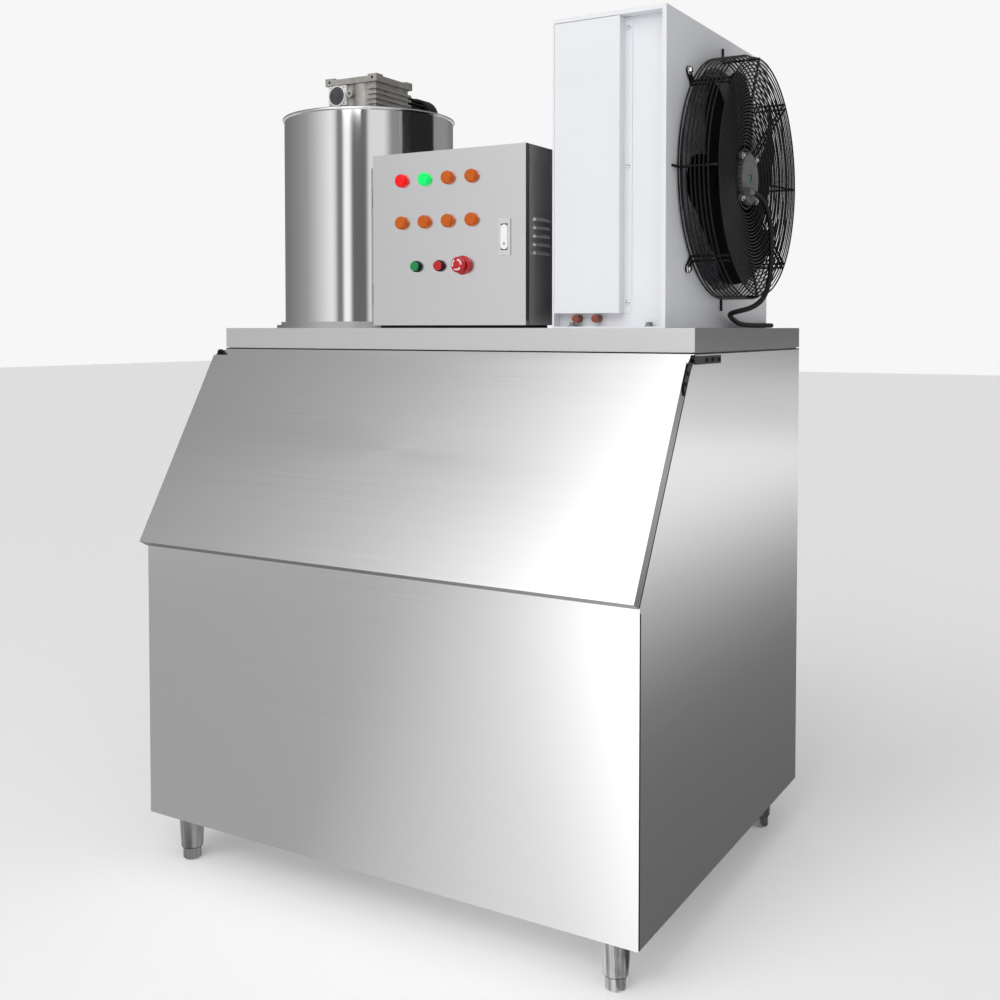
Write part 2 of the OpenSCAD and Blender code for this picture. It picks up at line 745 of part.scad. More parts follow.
// An open trough on the shaft with tubes that wet the evaporator's wall
module water_sprinkler() color("white") place() at_drum() {
    trough_z = lid_z - 30;
    trough_r = 78;
    trough_h = 20;
    trough_wall = 4;
    spray_l = 44;
    spray_r = 5;
    rotate_extrude() polygon([
        [shaft_r, trough_z], [trough_r, trough_z], [trough_r, trough_z + trough_h],
        [trough_r - trough_wall, trough_z + trough_h], [trough_r - trough_wall, trough_z + trough_wall],
        [shaft_r + 2 * trough_wall, trough_z + trough_wall],
        [shaft_r + 2 * trough_wall, trough_z + trough_h], [shaft_r, trough_z + trough_h]]);
    for (a = [60, 180, 300]) rotate(a)
        rod_x([trough_r - trough_wall / 2, 0, trough_z + trough_h / 2], spray_r, spray_l);
}

module bottom_bearing() color("dimgray") place() at_drum() difference() {
    hub_wall = 14;
    arm_deep = 18;
    union() {
        translate([0, 0, base_top]) cylinder(r = shaft_r + hub_wall, h = hub_h);
        for (a = [30, 150, 270]) rotate(a)
            box([shaft_r, -arm_w / 2, base_top], [evap_r - past, arm_w / 2, base_top + arm_deep]);
    }
    translate([0, 0, base_top - past]) cylinder(r = shaft_r + fit, h = hub_h + 2 * past);
}

// Gear drive

red_base = 10;
red_band = 18;
red_front = -red_d / 2;
body_front = red_front + red_rib;
plug_r = 9;
plug_l = 11;
plug_x = -worm_x + 40;
plug_z = worm_z + 2;
fin_n_red = 5;
fin_pitch_red = 12;
fin_t_red = 5;

module at_reducer() translate([drum_x, drum_y, drum_top]) children();

// A cast housing with flanges above and below, side ribs and corner pads with bolt holes
module reducer_housing() color("#c8c4bc") place() at_reducer() difference() {
    half_w = red_w / 2;
    half_d = red_d / 2;
    pad = 26;
    pad_out = 2;
    bulge_r = 34;
    union() {
        box([-half_w, -half_d, 0], [half_w, half_d, red_base]);
        box([-half_w + red_rib, -half_d + red_rib, red_base - past],
            [half_w - red_rib, half_d - red_rib, red_h - red_band + past]);
        box([-half_w, -half_d, red_h - red_band], [half_w, half_d, red_h - 4]);
        for (x = [-half_w, half_w - pad], y = [-half_d, half_d - pad])
            box([x, y, red_h - red_band + 1], [x + pad, y + pad, red_h]);
        for (i = [0 : fin_n_red - 1]) {
            z = red_base + 5 + i * fin_pitch_red;
            box([half_w - red_rib - past, -half_d + 2, z], [half_w - 2, half_d - 2, z + fin_t_red]);
            box([half_w - 30, -half_d + 2, z], [half_w - 2, -half_d + red_rib + past, z + fin_t_red]);
            box([-half_w + 2, -half_d + 60, z], [-half_w + red_rib + past, half_d - 2, z + fin_t_red]);
        }
        translate([20, body_front + bulge_r - 5, red_base - past])
            cylinder(r = bulge_r, h = red_h - red_band - red_base + 2 * past);
    }
    translate([0, 0, -past]) cylinder(r = shaft_r + fit, h = shaft_in + seat + past);
    rod_y([plug_x, body_front - plug_l, plug_z], plug_r + seat, plug_l);
    for (x = [-half_w + pad / 2, half_w - pad / 2]) {
        rod_y([x, -half_d - past, red_h - red_band / 2], 3.5, 12);
        rod_y([x, half_d + past - 12, red_h - red_band / 2], 3.5, 12);
    }
}

flange_side = 54;
flange_bolt = 20;
flange_t = 9;

module bearing_flange() color("#d8d8d6") place() at_reducer() difference() {
    front = body_front - flange_t;
    union() {
        box([-worm_x - flange_side / 2, front + 3, worm_z - flange_side / 2 + 4],
            [-worm_x + flange_side / 2, body_front, worm_z + flange_side / 2 - 2]);
        rod_y([-worm_x, front, worm_z], cap_r + 3, flange_t);
    }
    rod_y([-worm_x, front - past, worm_z], cap_r, 5 + past);
    for (x = [-flange_bolt, flange_bolt], z = [-flange_bolt, flange_bolt])
        rod_y([-worm_x + x, front - past, worm_z + z], 2.6, flange_t);
}

module bearing_cap() color("#3c3c40") place() at_reducer()
    rod_y([-worm_x, body_front - flange_t + 1, worm_z], cap_r - fit, 4);

module oil_plug() color("#b8b4ac") place() at_reducer() difference() {
    key_r = 4.6;
    key_d = 6;
    at = [plug_x, body_front - plug_l, plug_z];
    rod_y(at, plug_r, plug_l - weld);
    translate(at - [0, past, 0]) rotate([-90, 0, 0]) cylinder(r = key_r, h = key_d + past, $fn = 6);
}

motor_y = red_d / 2;

// A ribbed motor body with a round mounting flange at the reducer
module drive_motor() color("#1c1c1e") place() at_reducer() translate([-worm_x, motor_y, worm_z]) {
    rib_n = 18;
    rib_t = 3;
    rib_h = 7;
    neck_t = 12;
    shield_t = 8;
    cowl_seat = 6;
    rod_y([0, 0, 0], motor_r + 2, neck_t);
    rod_y([0, motor_l - shield_t, 0], motor_r - fit, shield_t + cowl_seat);
    rod_y([0, neck_t - past, 0], motor_r - rib_h, motor_l - neck_t + past);
    for (i = [0 : rib_n - 1]) rotate([0, i * 360 / rib_n, 0])
        box([-rib_t / 2, neck_t - past, motor_r - rib_h - 2],
            [rib_t / 2, motor_l - shield_t + past, motor_r]);
}

module motor_cowl() color("#161618") place() at_reducer() translate([-worm_x, motor_y + motor_l, worm_z])
difference() {
    wall = 2;
    slot_n = 12;
    slot_l = 16;
    rod_y([0, 0, 0], motor_r + 2, cowl_l);
    rod_y([0, -past, 0], motor_r, cowl_l - wall + past);
    for (i = [0 : slot_n - 1]) rotate([0, i * 360 / slot_n, 0])
        box([-2, cowl_l - wall - past, 16], [2, cowl_l + past, 16 + slot_l]);
}

// Control box

module at_box() translate([box_x, 0, box_z]) children();

shell_rim = 12;
louvre_l = 62;
louvre_low = 148;
louvre_out = 5;

// A folded shell, open in front, with pressed louvres in its right side
module control_box() color("silver") place() at_box() difference() {
    union() {
        difference() {
            box([0, shell_y, 0], [box_w, shell_y + shell_d, box_h]);
            box([box_sheet, shell_y + box_sheet, box_sheet],
                [box_w - box_sheet, shell_y + shell_d - box_sheet, box_h - box_sheet]);
            box([shell_rim, shell_y - past, shell_rim],
                [box_w - shell_rim, shell_y + box_sheet + past, box_h - shell_rim]);
        }
        for (i = [0 : louvre_n - 1])
            along_y(shell_y + 20, louvre_l) translate([box_w - box_sheet / 2, louvre_low + i * louvre_pitch])
                polygon([[0, 0], [louvre_out + box_sheet / 2, 0.5], [0, 9]]);
        for (x = [30, box_w - 70])
            box([x, shell_y + 10, -box_foot], [x + 40, shell_y + shell_d - 5, past / 2]);
        for (z = knuckle_z) knuckle(z - box_z + knuckle_l, shell_y);
    }
    for (i = [0 : louvre_n - 1])
        box([box_w - box_sheet - past, shell_y + 23, louvre_low + i * louvre_pitch + 1.5],
            [box_w + 1.5, shell_y + 17 + louvre_l, louvre_low + i * louvre_pitch + 5]);
    for (z = knuckle_z) knuckle_bore(z - box_z);
    rod_y([gland_x - box_x, shell_y + shell_d - box_sheet - past, gland_z - box_z],
        gland_bore, box_sheet + 2 * past);
}

gland_x = gland_at[0];
gland_z = gland_at[2];
gland_bore = 9;

// Half a hinge knuckle, with a web to the sheet beside it
module knuckle(z, web_y) {
    translate([knuckle_x - box_x, knuckle_y, z]) cylinder(r = knuckle_r, h = knuckle_l - seat);
    web = web_y > knuckle_y ? [web_y, web_y + knuckle_r + 3] : [web_y - knuckle_r - 3, web_y];
    box([knuckle_x - box_x - 1, web[0], z], [1, web[1], z + knuckle_l - seat]);
}

module knuckle_bore(z) translate([knuckle_x - box_x, knuckle_y, z - past])
    cylinder(r = cpin_r + fit, h = 2 * knuckle_l + 2 * past);

lamp_cols = [for (i = [0 : 3]) lamp_x + i * lamp_pitch];
lamp_rows = [lamp_row_1, lamp_row_2];
button_cols = [start_x, stop_x];

// A pan with holes for the lamps, the buttons and the lock
module control_door() color("whitesmoke") place() at_box() difference() {
    union() {
        difference() {
            box([0, box_y, 0], [box_w, box_y + cdoor_d, box_h]);
            box([box_sheet, box_y + box_sheet, box_sheet],
                [box_w - box_sheet, box_y + cdoor_d + past, box_h - box_sheet]);
        }
        for (z = knuckle_z) knuckle(z - box_z, box_y + cdoor_d);
    }
    for (x = lamp_cols, z = lamp_rows)
        rod_y([x, box_y - past, z], barrel_r + barrel_gap, box_sheet + 2 * past);
    for (x = concat(button_cols, [estop_x]))
        rod_y([x, box_y - past, button_row], barrel_r + barrel_gap, box_sheet + 2 * past);
    box([lock_x - lock_w / 2 + 1.5, box_y - past, lock_z - lock_h / 2 + 3],
        [lock_x + lock_w / 2 - 1.5, box_y + box_sheet + past, lock_z + lock_h / 2 - 3]);
    for (z = knuckle_z) knuckle_bore(z - box_z);
}

module control_hinge_pins() color("gray") place() for (z = knuckle_z)
    translate([knuckle_x, knuckle_y, z]) cylinder(r = cpin_r, h = 2 * knuckle_l - seat);

plate_in = 24;
plate_t = 2;
plate_y = shell_y + shell_d - box_sheet - 14;
rail_h = 35;
rail_t = 7;
rail_z = 236;
rail_l = 250;

// A plate on four posts, with a rail across it
module mounting_plate() color("lightgray") place() at_box() {
    post = 6;
    box([plate_in, plate_y - plate_t, plate_in], [box_w - plate_in, plate_y, box_h - plate_in]);
    for (x = [plate_in + 14, box_w - plate_in - 14], z = [plate_in + 14, box_h - plate_in - 14])
        rod_y([x, plate_y - past, z], post, shell_y + shell_d - box_sheet - plate_y + past);
    box([60, plate_y - plate_t - rail_t, rail_z - rail_h / 2],
        [60 + rail_l, plate_y - plate_t + past, rail_z + rail_h / 2]);
}

module contactors() color("#e4e0d4") place() at_box() for (i = [0 : 2]) {
    w = 48;
    back = plate_y - plate_t - rail_t;
    translate([70 + i * (w + 30), 0, rail_z]) {
        box([0, back - 30, -44], [w, back, 44]);
        box([0, back - 46, -26], [w, back - 30, 26]);
    }
}

// A bezel ring with its threaded barrel and back nut
module bezel(x, z, rim, cap, floor_y, bore) at_box() difference() {
    nut_t = 5;
    nut_r = barrel_r + 3;
    union() {
        rod_y([x, box_y - bezel_h, z], rim, bezel_h);
        rod_y([x, box_y - past, z], barrel_r, barrel_l + past);
        rod_y([x, box_y + box_sheet, z], nut_r, nut_t);
    }
    rod_y([x, box_y - bezel_h - past, z], cap + fit, bezel_h - floor_y + past);
    rod_y([x, box_y - bezel_h - past, z], bore, bezel_h + barrel_l + 2 * past);
}

lamp_bore = 3;
stem_r = 5;

module panel_bezels() color("#b0b0b0") place() {
    for (x = lamp_cols, z = lamp_rows) bezel(x, z, bezel_r, lens_r, 2, lamp_bore);
    for (x = button_cols) bezel(x, button_row, button_ring_r, button_r, 1, stem_r + fit);
}

// A lens with a slightly crowned face
module lens(x, z) at_box() translate([x, box_y - 2 - fit, z]) rotate([90, 0, 0]) {
    side_h = 9;
    crown = 2;
    rotate_extrude() polygon([
        [0, 0], [lens_r, 0], [lens_r, side_h], [lens_r - 2.5, side_h + crown], [0, side_h + crown]]);
}

module lamp_red() color("red") place() lens(lamp_cols[0], lamp_rows[0]);

module lamp_green() color("springgreen") place() lens(lamp_cols[1], lamp_rows[0]);

module lamps_amber() color("darkorange") place() {
    for (x = [lamp_cols[2], lamp_cols[3]]) lens(x, lamp_rows[0]);
    for (x = lamp_cols) lens(x, lamp_rows[1]);
}

// A push button: a head in its bezel and a stem through the barrel
module push_button(x) at_box() {
    head_y = box_y - 1 - seat - button_travel;
    head_h = 8;
    rod_y([x, head_y - head_h, button_row], button_r, head_h);
    rod_y([x, head_y - past, button_row], stem_r, barrel_l + button_travel + past);
}

module start_button() color("#0c7a3c") place() push_button(start_x);

module stop_button() color("#a01018") place() push_button(stop_x);

module estop_collar() color("#d0d0d0") place() at_box() difference() {
    nut_t = 5;
    union() {
        rod_y([estop_x, box_y - estop_collar_h, button_row], bezel_r, estop_collar_h);
        rod_y([estop_x, box_y - past, button_row], barrel_r, barrel_l + past);
        rod_y([estop_x, box_y + box_sheet, button_row], bezel_r - 1, nut_t);
    }
    rod_y([estop_x, box_y - estop_collar_h - past, button_row],
        estop_neck_r + fit, barrel_l + estop_collar_h + 2 * past);
}

estop_head_y = box_y - estop_collar_h - estop_travel - 1;
estop_spigot_l = 8;

module estop_stem() color("#801018") place() at_box() {
    rod_y([estop_x, estop_head_y + seat, button_row], estop_neck_r, barrel_l + estop_travel);
    rod_y([estop_x, estop_head_y - estop_spigot_l, button_row], estop_spigot_r, estop_spigot_l + past);
}

// A mushroom head that turns on the stem's spigot
module estop_head() color("#c01020") place() at_box() translate([estop_x, estop_head_y, button_row])
rotate([90, 0, 0]) {
    depth = estop_spigot_l + seat;
    rotate_extrude() polygon([
        [estop_spigot_r + fit, 0], [estop_r - 5, 0], [estop_r, 5], [estop_r, 8], [estop_r - 2, 11],
        [estop_r - 7, 13], [0, 14], [0, depth], [estop_spigot_r + fit, depth]]);
}

lever_y = box_y - 3;
lever_top = lock_z + lever_l / 2 - lever_w / 2;

// A flush plate with a pocket behind it for the lever
module lock_plate() color("#e0e0e0") place() at_box() difference() {
    union() {
        box([lock_x - lock_w / 2, box_y - 3, lock_z - lock_h / 2],
            [lock_x + lock_w / 2, box_y, lock_z + lock_h / 2]);
        box([lock_x - lock_w / 2 + 2, box_y - past, lock_z - lock_h / 2 + 4],
            [lock_x + lock_w / 2 - 2, box_y + lock_depth, lock_z + lock_h / 2 - 4]);
    }
    box([lock_x - lever_w / 2 - seat, box_y - 3 - past, lock_z - lever_l / 2 - 1.5],
        [lock_x + lever_w / 2 + seat, box_y + lock_depth - 2, lock_z + lever_l / 2 + lever_gap]);
    rod_x([lock_x - lever_w / 2 - 3 - fit, lever_y + lever_t / 2 - lever_proud, lever_top],
        lever_pin_r + fit, lever_w + 6 + 2 * fit);
}

// A lever with round ends that flips out about the pins at its upper end
module lock_lever() color("#f0f0f0") place() at_box() {
    along_y(lever_y - lever_proud, lever_t) difference() {
        union() {
            translate([lock_x, lever_top]) circle(d = lever_w);
            translate([lock_x, lock_z - lever_l / 2 + lever_w / 2]) circle(d = lever_w);
            translate([lock_x - lever_w / 2, lock_z - lever_l / 2 + lever_w / 2])
                square([lever_w, lever_l - lever_w]);
        }
        translate([lock_x, lock_z - lever_l / 2 + lever_w / 2 + 4]) circle(r = 3.4);
    }
    rod_x([lock_x - lever_w / 2 - 3, lever_y + lever_t / 2 - lever_proud, lever_top], lever_pin_r, 6);
    rod_x([lock_x + lever_w / 2 - 3, lever_y + lever_t / 2 - lever_proud, lever_top], lever_pin_r, 6);
}

module cable_gland() color("#1c1c1c") place() translate([gland_x, shell_y + shell_d, gland_z])
rotate([-90, 0, 0]) {
    nut = 5;
    body_r = 12;
    difference() {
        union() {
            translate([0, 0, -box_sheet - 8]) cylinder(r = gland_bore - barrel_gap, h = box_sheet + 8 + past);
            translate([0, 0, -box_sheet - nut]) cylinder(r = body_r, h = nut, $fn = 6);
            cylinder(r = body_r, h = 9, $fn = 6);
            cylinder(r1 = body_r - 2, r2 = cable_r + 2, h = gland_l);
        }
        translate([0, 0, -box_sheet - 8 - past]) cylinder(r = 4, h = gland_l + box_sheet + 8 + 2 * past);
    }
}

// Condenser

cover_x = cond_x + 4;
panel_y = cond_y + recess_d;
coil_y = panel_y + cond_sheet + 8;
coil_l = cond_d - recess_d - 2 * cond_sheet - 16;
coil_x = cond_x + cond_sheet;

// A folded casing: recessed front, open coil side, round fan opening with an inner ring
module condenser_casing() color("whitesmoke") place() difference() {
    fan_ring_l = 40;
    frame = 16;
    union() {
        difference() {
            box([cond_x, cond_y, z_top], [side_x, cond_y + cond_d, z_top + cond_h]);
            box([cond_x + cond_sheet, panel_y + cond_sheet, z_top + cond_sheet],
                [side_x - cond_sheet, cond_y + cond_d - cond_sheet, z_top + cond_h - cond_sheet]);
        }
        rod_x([side_x - fan_ring_l, fan_y, fan_z], ring_r + cond_sheet, fan_ring_l - past);
    }
    box([cond_x + 4, cond_y - past, z_top + cond_sheet],
        [side_x - recess_lip, panel_y, z_top + cond_h - recess_lip]);
    box([cond_x - past, panel_y + frame, z_top + frame],
        [cond_x + cond_sheet + past, cond_y + cond_d - frame, z_top + cond_h - frame]);
    rod_x([side_x - fan_ring_l - past, fan_y, fan_z], ring_r, fan_ring_l + 2 * past);
}

cover_end = cover_x + cover_w;

// A raised cover with a flange down its right side
module condenser_cover() color("white") place() {
    sheet = 2;
    front = cond_y + 1;
    low = z_top + cover_up;
    high = z_top + cond_h - recess_lip - 1;
    difference() {
        box([cover_x + seat, front, low], [cover_end, panel_y, high]);
        box([cover_x + seat + sheet, front + sheet, low + sheet],
            [cover_end - sheet, panel_y + past, high - sheet]);
    }
    box([cover_end - sheet, panel_y - sheet, low], [cover_end + cover_flange, panel_y, high]);
}

// Fins on tubes between two end plates, with return bends and two connection stubs
module condenser_coil() color("#b87333") place() {
    fin_t = 1;
    end_t = 3;
    coil_low = z_top + cond_sheet;
    coil_high = z_top + cond_h - cond_sheet;
    tube_pitch = (coil_high - coil_low) / tube_n;
    tube_x = coil_x + coil_t / 2;
    tube_out = 6;
    bend_room = tube_pitch / 2 + tube_r + tube_out;
    low_y = coil_y + bend_room;
    high_y = coil_y + coil_l - bend_room;
    for (y = [low_y, high_y - end_t])
        box([coil_x, y, coil_low], [coil_x + coil_t, y + end_t, coil_high]);
    for (i = [1 : fin_n]) {
        y = low_y + i * (high_y - low_y - end_t) / (fin_n + 1);
        box([coil_x + 1, y, coil_low + 4], [coil_x + coil_t - 1, y + fin_t, coil_high - 4]);
    }
    for (i = [0 : tube_n - 1])
        rod_y([tube_x, low_y - tube_out, coil_low + (i + 0.5) * tube_pitch], tube_r,
            high_y - low_y + 2 * tube_out);
    for (i = [0 : tube_n - 2]) {
        y = i % 2 == 0 ? high_y + tube_out : low_y - tube_out;
        turn = i % 2 == 0 ? 90 : -90;
        translate([tube_x, y, coil_low + (i + 1) * tube_pitch]) rotate([0, 90, 0]) rotate(turn - 90)
            rotate_extrude(angle = 180) translate([tube_pitch / 2, 0]) circle(r = tube_r);
    }
    for (z = [coil_in_z, coil_out_z])
        rod_x([coil_stub_x, coil_stub_y, z], stub_r, tube_x - coil_stub_x);
}

// Fan, drawn about its axis with z out of the casing

module at_fan() translate([side_x, fan_y, fan_z]) rotate([90, 0, 90]) children();

// Height of the guard's dished face at a radius
function face_z(r) = guard_h - dish * (rim_guard_r - r) / (rim_guard_r - hub_ring_r);

module ring(r, z, thick) translate([0, 0, z]) rotate_extrude($fn = 96)
    translate([r, 0]) circle(r = thick, $fn = 24);

strut_side_r = guard_r - wire_r - strut_r - weld;
foot_reach = 26;

// A strut wire: out along the casing, up inside the side rings, and in behind the face rings
module strut_wire(offset, r) {
    under = wire_r + r + weld;
    corner = face_z(strut_side_r) - under;
    wire([guard_r + foot_reach, offset, foot_z], [strut_side_r - r, offset, foot_z], r);
    wire([strut_side_r, offset, foot_z - r], [strut_side_r, offset, corner + r - wire_r / 2], r);
    wire([strut_side_r + r, offset, face_z(strut_side_r + r) - under],
        [hub_ring_r + hub_ring_wire + weld, offset, face_z(hub_ring_r + hub_ring_wire) - under], r);
}

// Rings of wire welded on four double struts with bolt loops and four single ribs
module fan_guard() color("#161616") place() at_fan() {
    face_ring_n = floor((rim_guard_r - hub_ring_r) / face_pitch) - 1;
    side_pitch = (guard_h - 14) / side_ring_n;
    for (i = [0 : side_ring_n - 1]) ring(guard_r, 12 + i * side_pitch, wire_r);
    for (i = [0 : face_ring_n]) {
        r = rim_guard_r - i * face_pitch;
        ring(r, face_z(r), wire_r);
    }
    ring(hub_ring_r, face_z(hub_ring_r), hub_ring_wire);
    for (a = [45, 135, 225, 315]) rotate(a) {
        for (s = [-1, 1]) strut_wire(s * strut_pair / 2, strut_r);
        translate([guard_r + foot_reach, 0, foot_z]) rotate(-90)
            rotate_extrude(angle = 180) translate([strut_pair / 2, 0]) circle(r = strut_r, $fn = 24);
    }
    for (a = [0, 90, 180, 270]) rotate(a) strut_wire(0, strut_r);
}

plate_z = guard_h - dish + hub_ring_wire + weld;
plate_th = 9;
stator_z = 18;

// The still half of the motor: an end plate with ears on the guard's hub ring
module fan_motor() color("#55585a") place() at_fan() difference() {
    ear_r = 8;
    tooth_n = 36;
    boss_at = [cable_route[0][1] - fan_y, cable_route[0][2] - fan_z, cable_route[0][0] - side_x];
    union() {
        translate([0, 0, stator_z]) cylinder(r = stator_r, h = plate_z + past - stator_z);
        translate([0, 0, plate_z]) cylinder(r = plate_r - 4, h = plate_th);
        for (i = [0 : tooth_n - 1]) rotate(i * 360 / tooth_n)
            box([plate_r - 8, -1.5, plate_z], [plate_r, 1.5, plate_z + plate_th - 3]);
        for (a = [45, 135, 225, 315]) rotate(a)
            translate([hub_ring_r, 0, plate_z]) cylinder(r = ear_r, h = plate_th - 2);
        translate([boss_at[0] - 26, boss_at[1], boss_at[2]]) rotate([0, 90, 0]) cylinder(r = 8.5, h = 26);
    }
    translate([0, 0, stator_z - past]) cylinder(r = fan_shaft_r + fit, h = 32 + past);
    translate([0, 0, plate_z + plate_th - 5]) cylinder(r = 9, h = 5 + past);
}

// Pitched blades on the turning half of the motor
module fan_rotor() color("#141414") place() at_fan() {
    hub_low = -56;
    hub_high = 14;
    pitch = 26;
    blade_t = 3;
    mid = 18;
    root_r = stator_r + 6;
    translate([0, 0, hub_low]) cylinder(r = hub_r, h = hub_high - hub_low);
    translate([0, 0, hub_high - past]) cylinder(r = fan_shaft_r, h = stator_z + 30 - hub_high + past);
    intersection() {
        for (i = [0 : blade_n - 1]) rotate(i * 360 / blade_n) translate([0, 0, mid]) rotate([pitch, 0, 0])
            linear_extrude(blade_t, center = true) polygon([
                [root_r, -44], [hub_r + 40, -58], [fan_r - 40, -46], [fan_r + 20, 4],
                [fan_r + 20, 92], [fan_r - 40, 78], [hub_r + 40, 50], [root_r, 44]]);
        translate([0, 0, hub_low - 40]) cylinder(r = fan_r, h = hub_high - hub_low + 80, $fn = 96);
    }
}

bolt_in = [34, 40];

// Hex bolts with washers through the condenser's base
module casing_bolts() color("silver") place()
    for (x = [cond_x + bolt_in[1], side_x - bolt_in[1]],
            y = [cond_y + recess_d / 2, cond_y + cond_d - bolt_in[0]])
        translate([x, y, z_top + cond_sheet]) {
            cylinder(r = 9, h = 2);
            translate([0, 0, 1.5]) cylinder(r = 7.5, h = 7, $fn = 6);
        }

module fan_cable() color("#101010") place()
    swept_tube(cable_route, cable_r, cable_sides, cable_steps, [0, 0, 1]);

// Compressor set

// A welded shell on a base plate with four rubber-mounted corners and two ports
module compressor() color("#262628") place() translate([comp_x, comp_y, z_top]) {
    base = 90;
    dome = 40;
    mount_h = 18;
    rotate_extrude() polygon([
        [0, mount_h], [comp_r - 14, mount_h], [comp_r, mount_h + dome], [comp_r, comp_h - dome],
        [comp_r - 14, comp_h - 12], [comp_r - 50, comp_h], [0, comp_h]]);
    box([-base, -base, mount_h], [base, base, mount_h + 6]);
    for (x = [-base + 16, base - 16], y = [-base + 16, base - 16])
        translate([x, y, 0]) cylinder(r = 13, h = mount_h + past);
    rod_x([comp_r - 12, 0, discharge_z - z_top], stub_r, port_l + 12);
    rod_x([-comp_r - port_l, 0, suction_z - z_top], stub_r, port_l + 12);
}

module liquid_receiver() color("#303236") place() translate([receiver_x, receiver_y, z_top]) {
    dome = 22;
    rotate_extrude() polygon([
        [0, 0], [receiver_r + 10, 0], [receiver_r + 10, 4], [receiver_r, 4], [receiver_r, receiver_h - dome],
        [receiver_r - 14, receiver_h - 6], [stub_r, receiver_h], [stub_r, receiver_h + port_up],
        [0, receiver_h + port_up]]);
    rod_x([-receiver_r - port_l, 0, receiver_out_z - z_top], stub_r, port_l + 12);
}

// The four lines, and two service stubs below the condenser's cover
module copper_lines() color("#c87a50") place() {
    stub_gap = 44;
    swept_tube(discharge_route, line_r, line_sides, line_steps, [0, 0, 1]);
    swept_tube(condensate_route, line_r, line_sides, line_steps, [0, 0, 1]);
    swept_tube(liquid_route, line_r, line_sides, line_steps, [0, 0, 1]);
    swept_tube(suction_route, line_r, line_sides, line_steps, [0, 0, 1]);
    for (i = [0, 1])
        rod_y([cover_x + 46 + i * stub_gap, panel_y - 20, z_top + 19], line_r, 20);
}

bin_front();
bin_back();
bin_left();
bin_right();
bin_floor();
bin_top();
bin_header();
bin_door();
door_gasket();
hinge_brackets();
hinge_straps();
hinge_pins();
leg_sockets();
foot_front_left();
foot_front_right();
foot_rear_left();
foot_rear_right();
drain_spigot();
drum_base();
drum_casing();
drum_lid();
evaporator();
scraper_shaft();
ice_blade();
water_sprinkler();
bottom_bearing();
reducer_housing();
bearing_flange();
bearing_cap();
oil_plug();
drive_motor();
motor_cowl();
control_box();
control_door();
control_hinge_pins();
mounting_plate();
contactors();
panel_bezels();
lamp_red();
lamp_green();
lamps_amber();
start_button();
stop_button();
estop_collar();
estop_stem();
estop_head();
lock_plate();
lock_lever();
condenser_casing();
condenser_cover();
condenser_coil();
fan_guard();
fan_motor();
fan_rotor();
casing_bolts();
cable_gland();
fan_cable();
compressor();
liquid_receiver();
copper_lines();
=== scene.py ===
"""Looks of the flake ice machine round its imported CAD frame: camera, light, materials and fine details."""
import json
import math

import bmesh
import bpy
from mathutils import Matrix, Vector


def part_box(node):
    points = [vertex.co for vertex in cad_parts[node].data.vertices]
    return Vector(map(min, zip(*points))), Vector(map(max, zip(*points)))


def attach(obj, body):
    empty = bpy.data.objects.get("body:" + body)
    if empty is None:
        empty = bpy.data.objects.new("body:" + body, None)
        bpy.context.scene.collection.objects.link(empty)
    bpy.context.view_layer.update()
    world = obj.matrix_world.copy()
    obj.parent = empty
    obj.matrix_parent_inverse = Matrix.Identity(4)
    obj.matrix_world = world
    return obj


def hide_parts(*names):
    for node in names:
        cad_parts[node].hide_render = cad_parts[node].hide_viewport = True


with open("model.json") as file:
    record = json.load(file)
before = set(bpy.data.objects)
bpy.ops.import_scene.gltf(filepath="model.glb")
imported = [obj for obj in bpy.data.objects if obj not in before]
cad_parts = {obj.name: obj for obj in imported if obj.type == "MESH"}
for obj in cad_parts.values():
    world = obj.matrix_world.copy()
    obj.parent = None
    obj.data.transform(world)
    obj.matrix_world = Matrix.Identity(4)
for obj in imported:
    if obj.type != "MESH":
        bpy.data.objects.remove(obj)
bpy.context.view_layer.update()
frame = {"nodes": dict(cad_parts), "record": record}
NODES = frame["nodes"]

MM = 1000
# The part's origin, in millimetres from the source's
BIN_CENTRE = Vector((604.225, 457.125644, 0))


def from_bin(x, y, z):
    """A point of the source, in millimetres, as a point of the part, in metres."""
    return (Vector((x, y, z)) - BIN_CENTRE) / MM


def new_object(name, data):
    made = bpy.data.objects.new(name, data)
    bpy.context.scene.collection.objects.link(made)
    return made


def aim(thing, at, direction):
    """Put a camera or light at a place and turn it to look in a direction."""
    thing.location = at
    thing.rotation_euler = Vector(direction).to_track_quat("-Z", "Y").to_euler()


# Camera, worked out from the photograph's vanishing points
IMAGE_PX = 1000
FOCAL_PX = 1184
HORIZON_PX = 328
SENSOR_MM = 36
CAMERA_AT = from_bin(2026, -1880, 1205)
AZIMUTH = math.radians(30.5)
PITCH = math.radians(2)


def add_camera():
    data = bpy.data.cameras.new("camera")
    data.sensor_fit = "HORIZONTAL"
    data.sensor_width = SENSOR_MM
    data.lens = FOCAL_PX / IMAGE_PX * SENSOR_MM
    data.shift_y = (HORIZON_PX - IMAGE_PX / 2 + FOCAL_PX * math.tan(PITCH)) / IMAGE_PX
    camera = new_object("camera", data)
    aim(camera, CAMERA_AT, (-math.sin(AZIMUTH), math.cos(AZIMUTH), -math.tan(PITCH)))
    bpy.context.scene.camera = camera


# Materials
def grey(value):
    return (value, value, value, 1)


NOISE_RANGE = (0.3, 0.7)


